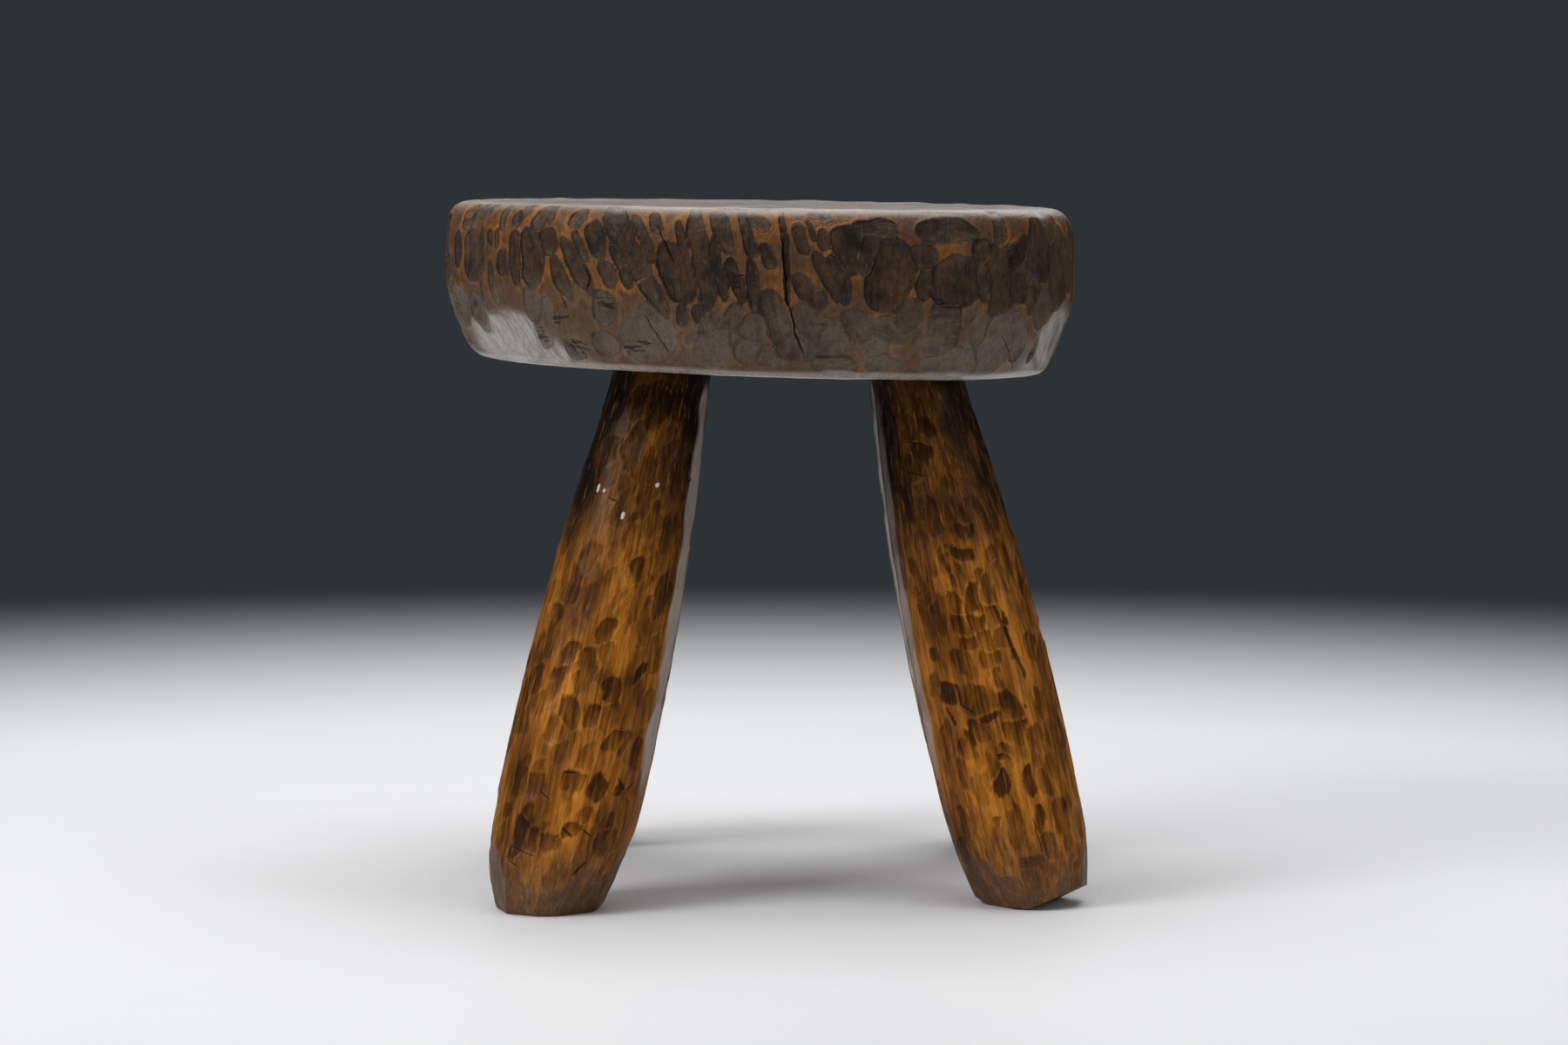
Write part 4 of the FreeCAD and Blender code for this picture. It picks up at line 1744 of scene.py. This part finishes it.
    def scoops(self) -> list[Scoop]:
        """The leg's tool marks: the chosen strokes, carried on round the rest of the leg."""
        chance = np.random.default_rng(self.seed)
        radius = self.belly / 2 * self.stroke_radius_share
        scoops = [stroke.scoop(radius, self.gouge) for stroke in self.strokes]
        height = self.first_row
        while height < self.last_row:
            angle = chance.uniform(0, 12)
            while angle < 360:
                width = chance.uniform(8, 13)
                half = chance.uniform(16, 30) / 2
                chosen = bool(self.strokes) and not self.bare_from < angle < 360 - self.bare_from
                stain = 0.5 * chance.random() ** 1.3 if chosen else chance.uniform(0.0, 0.65)
                middle = height + chance.uniform(-7, 7)
                out = angle + chance.uniform(-4, 4)
                clean = width * (0.8 if chosen else 1.0)
                gouge = self.faint_gouge if stain < self.faint_below else self.gouge
                stroke = Stroke(angle, middle + half, out, middle - half, clean, stain)
                scoops.append(stroke.scoop(radius, gouge))
                angle += width * 1.5 * chance.uniform(0.75, 1.05)
            height += chance.uniform(13, 18)
        return scoops

    def shaves(self) -> list[Scoop]:
        """Long drawknife flats along the leg, beneath the gouge marks."""
        chance = np.random.default_rng(self.seed + 50)
        flats = []
        for step in range(15):
            angle = step * 24 + chance.uniform(-6, 6)
            for low in (20.0, 110.0, 200.0):
                high = low + chance.uniform(90, 130)
                out = angle + chance.uniform(-4, 4)
                stroke = Stroke(angle, high, out, low - 15, chance.uniform(15, 21), 0.0)
                flats.append(stroke.scoop(self.belly / 2, self.drawknife))
        return flats

    def bottom_edge(self) -> tuple[Facet, ...]:
        """Small flats all round the foot's bottom edge, where it is rubbed."""
        chance = np.random.default_rng(self.seed + 70)
        angles = np.cumsum(chance.uniform(16, 34, 14))
        return tuple(Facet(angle, 2.0, chance.uniform(42, 62), chance.uniform(0.3, 0.9)) for angle in angles)

    def whittle(self, points: Array, height: Array) -> tuple[Array, Array]:
        """Cuts the foot's flats.

        Args:
            points: Every point's place.
            height: Every point's height before any cut.

        Returns:
            The points after the cuts, and the most that each was cut back.
        """
        deepest = np.zeros(len(points))
        for flat in self.facets + self.bottom_edge():
            level = np.array([flat.height * MM])
            spot = self.middles(level)[0] + way_out(math.radians(flat.angle)) * self.radius(level)
            points, over = flat.shave(points, spot, height < self.foot_top)
            deepest = np.maximum(deepest, over)
        return points, deepest

    def unrolled(self, points: Array) -> tuple[Array, Array, Face]:
        """Unrolls the leg about its axis.

        Args:
            points: Every point's place.

        Returns:
            The level way from the axis to each point, its length, and the unrolled face.
        """
        height = points[:, 2]
        away = points - self.middles(height)
        angle = np.arctan2(away[:, 0], -away[:, 1])
        return away, np.hypot(away[:, 0], away[:, 1]), Face(angle, height, self.belly / 2)

    def refine(self, mesh: Mesh) -> None:
        """Divides the mesh more finely along the scratches."""
        _, wide, face = self.unrolled(read_points(mesh))
        divide_along(mesh, face, self.scratches, wide > self.radius(face.height) * self.skin_share)

    def carve(self, mesh: Mesh) -> None:
        """Cuts the tool marks and the foot's flats into the leg and keeps what the finish needs.

        Args:
            mesh: The leg.
        """
        points = read_points(mesh)
        normals = read_points(mesh, "normal")
        tall = self.neck_middle[2]
        away, wide, face = self.unrolled(points)
        angle, height = face.angle, face.height
        blank_radius = self.radius(np.clip(height, 0, tall))
        skin = (wide > blank_radius * self.skin_share) & (height < tall + self.skin_over)
        inward = -self.side * math.radians(self.inner_angle)
        aside = np.degrees(np.abs(wrapped(angle - inward)))
        hold = skin * ease(height, *self.foot_band) * ease(tall - height, *self.neck_band)
        hold *= 0.35 + 0.65 * ease(aside, *self.inner_band)

        waver = Waver(self.seed, self.drift, self.shortest_drift)
        marks = Carving(self.scoops(), True, waver).cut(angle, height, wide)
        flats = Carving(self.shaves(), True, Waver(self.seed + 9, self.shave_drift)).cut(angle, height, wide)
        split = opened(self.scratches, face) * skin
        depth = (marks.depth + flats.depth) * hold + split * self.scratch_depth
        carved, shaved = self.whittle(points - normals * depth[:, None], height)

        # The planed strip on the inner side
        facing = way_out(inward)
        uneven = 1.0 + 0.12 * np.sin(height / (11 * MM)) + 0.08 * np.sin(height / (4.7 * MM))
        bite = self.inner_bite * uneven * ease(height, *self.strip_band)
        bite = bite * skin * ease(tall - height, 0.0, self.strip_end)
        inner = np.maximum((carved - points + away) @ facing - blank_radius + bite, 0) * (bite > 0)
        carved = carved - inner[:, None] * facing
        carved[:, 2] = np.maximum(carved[:, 2], 0)
        write_points(mesh, carved)

        grain = away.copy()
        grain[:, 2] = height + self.seed
        turned = np.abs(np.degrees(angle))
        # Painted shade under the seat, where the leg meets it
        dark_and_shade = ease(height, 0.15, 0.232) * 0.66 + ease(height, 0.235, 0.285) * 0.18
        # Painted shade on the sides away from the front; also darker towards the foot
        dark_and_shade = dark_and_shade + 0.3 * ease(turned, 20, 62) * ease(turned, 160, 118) + 0.1 * ease(height, 0.075, 0.02)
        drops = [np.zeros(len(points))] + [drop.strength(face) for drop in self.drops]
        rubbed = 0.55 * ease(height, *self.rubbed_band)
        keep_marks(
            mesh,
            {
                "split": split,
                # How far the inner strip is planed, where the finish paints the floor's reflection
                "strip_sheen": self.strip_sheen_share * ease(inner, *self.strip_sheen_band),
                "drop": np.max(drops, axis=0),
                "cut": marks.edge / MM,
                "stain": marks.stain,
                # How near each cut's upper end, which the finish darkens with stain and painted shade
                "start": marks.start,
                "worn": np.maximum(ease(shaved, *self.flat_band), rubbed),
                "dark_and_shade": dark_and_shade,
                "grain": grain,
            },
        )
        show_smooth(mesh, self.sharp)

    def build(self) -> bpy.types.Object:
        """Makes the leg."""
        piece = new_piece("club_leg_" + self.name, self.blank())
        cut_away(piece, self.kerf())
        self.refine(piece.data)
        self.carve(piece.data)
        return piece

    def dress(self, piece: bpy.types.Object, finish: bpy.types.Material) -> None:
        """Gives the leg its finish and its place in the frame."""
        piece.data.materials.append(finish)
        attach(piece, BODY)
        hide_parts("leg_" + self.name)


def plain_foot(*angles: float) -> tuple[Facet, ...]:
    """Like flats round a foot, at angles in degrees."""
    return tuple(Facet(angle, 13, 20, 2.8) for angle in angles)


LEGS = (
    ClubLeg(
        "front_left",
        side=-1,
        end=-1,
        stout=1.02,
        seed=3,
        facets=rows_of(
            Facet,
            (
                (-30, 14, 14, 2.4), (2, 12, 16, 1.6), (38, 16, 22, 3.4), (-72, 30, 6, 2.2),
                (80, 12, 24, 3.0), (130, 12, 20, 3.0), (190, 12, 20, 3.0), (240, 12, 20, 3.0),
            ),
        ),
        strokes=FRONT_LEFT_STROKES,
        scratches=rows_of(
            Check,
            (
                (((-45, 38), (-16, 32)), 0.5, 4), (((-44, 30), (-29, 26)), 0.45, 4),
                (((-2, 49), (12, 42)), 1.0, 4), (((14, 48), (28, 42)), 0.7, 4),
                (((35, 74), (49, 65)), 1.1, 4), (((-11, 78), (5, 77)), 0.9, 4),
                (((-28, 69), (-13, 62)), 0.7, 4), (((16, 21), (29, 31)), 1.0, 4),
                (((-27, 223), (-13, 220)), 0.5, 4), (((52, 230), (66, 231)), 1.1, 4),
            ),
        ),
        drops=rows_of(
            Patch, ((-38, 227, 2.6, 3.6), (-31, 226, 1.6, 2), (-7, 213, 2.6, 3.2), (20, 229, 3.4, 2))
        ),
    ),
    ClubLeg(
        "front_right",
        side=1,
        end=-1,
        stout=0.98,
        seed=4,
        facets=rows_of(
            Facet,
            (
                (-50, 18, 26, 3.2), (-12, 12, 16, 2.0), (40, 14, 14, 2.0), (78, 22, 2, 1.6),
                (66, 11, 63, 0.4), (130, 12, 20, 3.0), (190, 12, 20, 3.0), (240, 12, 20, 3.0),
            ),
        ),
        strokes=FRONT_RIGHT_STROKES,
        scratches=rows_of(
            Check,
            (
                (((14, 53), (17, 30)), 0.5, 5), (((-8, 84), (5, 85)), 0.7, 4),
                (((-28, 112), (-14, 106)), 1.0, 4), (((22, 167), (37, 122)), 2.0, 6),
                (((-40, 236), (-12, 233)), 0.5, 5), (((-34, 252), (-5, 250)), 0.6, 5),
            ),
        ),
        inner_angle=75.0,
        inner_bite=1.2 * MM,
        strip_sheen_share=0.42,
    ),
    ClubLeg(
        "rear_left",
        side=-1,
        end=1,
        stout=0.97,
        seed=5,
        facets=plain_foot(10, 55, 110, 160, 205, 250, 300, 340),
    ),
    ClubLeg(
        "rear_right",
        side=1,
        end=1,
        stout=1.0,
        seed=6,
        facets=plain_foot(0, 50, 95, 150, 195, 245, 290, 330),
    ),
)


@dataclass(frozen=True)
class SoftBox:
    """One soft lamp: where it stands, what it looks at, its width and height, and its power in watts."""

    name: str
    place: tuple[float, float, float]
    aim: tuple[float, float, float]
    size: Span
    power: float

    def build(self) -> None:
        """Puts the lamp in the scene."""
        light = bpy.data.lights.new(self.name, "AREA")
        light.shape = "RECTANGLE"
        light.size, light.size_y = self.size
        light.energy = self.power
        lamp = bpy.data.objects.new(self.name, light)
        lamp.location = self.place
        lamp.rotation_euler = (Vector(self.aim) - Vector(self.place)).to_track_quat("-Z", "Y").to_euler()
        bpy.context.scene.collection.objects.link(lamp)


@dataclass
class Studio:
    """Pale floor, soft lamps and the camera."""

    floor_radius: float = 3.2
    floor_sides: int = 96
    floor_drop: float = 0.4 * MM
    floor_tint: Colour = tint(235, 235, 236)
    floor_shade: Colour = tint(206, 208, 214)
    floor_cloud: Grain = Grain(0.25, 4.0)
    floor_roughness: float = 0.55
    backdrop: Colour = tint(45, 50, 54)
    fade_from: float = 0.7
    fade_to: float = 1.85
    fill_tint: Colour = tint(128, 130, 134)
    fill_strength: float = 0.78
    camera_place: tuple[float, float, float] = (0.012, -2.8, 0.418)
    pitch: float = 4.46
    lens: float = 114.18
    sensor: float = 36.0
    farthest: float = 30.0
    lamps: tuple[SoftBox, ...] = (
        SoftBox("overhead", (0.0, 0.1, 2.2), (0, 0, 0.2), (2.2, 1.8), 39),
        SoftBox("key", (-2.0, -1.3, 2.0), (0, 0, 0.25), (1.2, 1.0), 34),
        SoftBox("right", (2.2, -1.2, 1.4), (0, 0, 0.25), (1.0, 1.2), 6),
        SoftBox("back", (0.0, 2.0, 1.3), (0, 0, 0.0), (2.4, 0.9), 9),
    )

    def floor(self) -> None:
        """The floor: a pale disc that fades into the backdrop's colour away from the stool."""
        form = bmesh.new()
        bmesh.ops.create_circle(form, cap_ends=True, segments=self.floor_sides, radius=self.floor_radius)
        bmesh.ops.translate(form, verts=form.verts, vec=(0, 0, -self.floor_drop))
        floor = new_piece("studio_floor", to_mesh(form, "studio_floor"))
        paint = Paint("studio_floor")
        place = paint.place()
        away = paint.length(place).step(self.fade_from, self.fade_to)
        (cloud,) = paint.noise(place, self.floor_cloud)
        colour = paint.mix(cloud.step(0.2, 0.9) * 0.12, self.floor_tint, self.floor_shade)
        matt = {"Base Color": colour, "Roughness": self.floor_roughness}
        pale = paint.node("ShaderNodeBsdfPrincipled", {}, matt)
        dark = paint.node("ShaderNodeEmission", {}, {"Color": self.backdrop, "Strength": 1.0})
        both = paint.node("ShaderNodeMixShader", {}, {0: away, 1: pale.outputs[0], 2: dark.outputs[0]})
        paint.node("ShaderNodeOutputMaterial", {}, {"Surface": both.outputs[0]})
        floor.data.materials.append(paint.material)

    def world(self) -> None:
        """The dark backdrop that is seen, and a dim even light."""
        world = bpy.data.worlds.new("studio")
        bpy.context.scene.world = world
        world.use_nodes = True
        sky = Nodes(world.node_tree)
        seen = sky.node("ShaderNodeBackground", {}, {"Color": self.backdrop, "Strength": 1.0})
        dim = {"Color": self.fill_tint, "Strength": self.fill_strength}
        fill = sky.node("ShaderNodeBackground", {}, dim)
        rays = sky.node("ShaderNodeLightPath").outputs
        shiny = Value(sky, rays["Is Glossy Ray"]).most(Value(sky, rays["Is Transmission Ray"]))
        direct = shiny.most(Value(sky, rays["Is Camera Ray"]))
        both = sky.node("ShaderNodeMixShader", {}, {0: direct, 1: fill.outputs[0], 2: seen.outputs[0]})
        sky.node("ShaderNodeOutputWorld", {}, {"Surface": both.outputs[0]})

    def camera(self) -> None:
        """The camera at the photograph's viewing angle."""
        eye = bpy.data.cameras.new("camera")
        eye.sensor_fit = "HORIZONTAL"
        eye.sensor_width = self.sensor
        eye.lens = self.lens
        eye.clip_end = self.farthest
        camera = bpy.data.objects.new("camera", eye)
        camera.location = self.camera_place
        camera.rotation_euler = (math.radians(90 - self.pitch), 0, 0)
        bpy.context.scene.collection.objects.link(camera)
        bpy.context.scene.camera = camera

    def build(self) -> None:
        """Sets up the floor, the light and the camera."""
        self.floor()
        for lamp in self.lamps:
            lamp.build()
        self.world()
        self.camera()
        bpy.context.scene.view_settings.view_transform = "Standard"


def dress_wedges(finish: bpy.types.Material) -> None:
    """Gives the four wedges their finish; their solids are kept as they are.

    Args:
        finish: The wedges' material.
    """
    for leg in LEGS:
        wedge = frame["nodes"]["wedge_" + leg.name]
        wedge.data.materials.clear()
        wedge.data.materials.append(finish)
        LOG.info("%s keeps its solid", wedge.name)


def main() -> None:
    """Builds the stool's pieces in order, then the studio round them."""
    logging.basicConfig(level=logging.INFO, format="%(name)s: %(message)s")
    slab = SeatSlab()
    seat = slab.build(list(LEGS))
    slab.dress(seat, SeatFinish().make())
    LOG.info("%s: %d vertices", seat.name, len(seat.data.vertices))
    leg_finish = LegFinish().make()
    for leg in LEGS:
        piece = leg.build()
        leg.dress(piece, leg_finish)
        LOG.info("%s: %d vertices", piece.name, len(piece.data.vertices))
    dress_wedges(WedgeFinish().make())
    Studio().build()


if __name__ == "__main__":
    main()
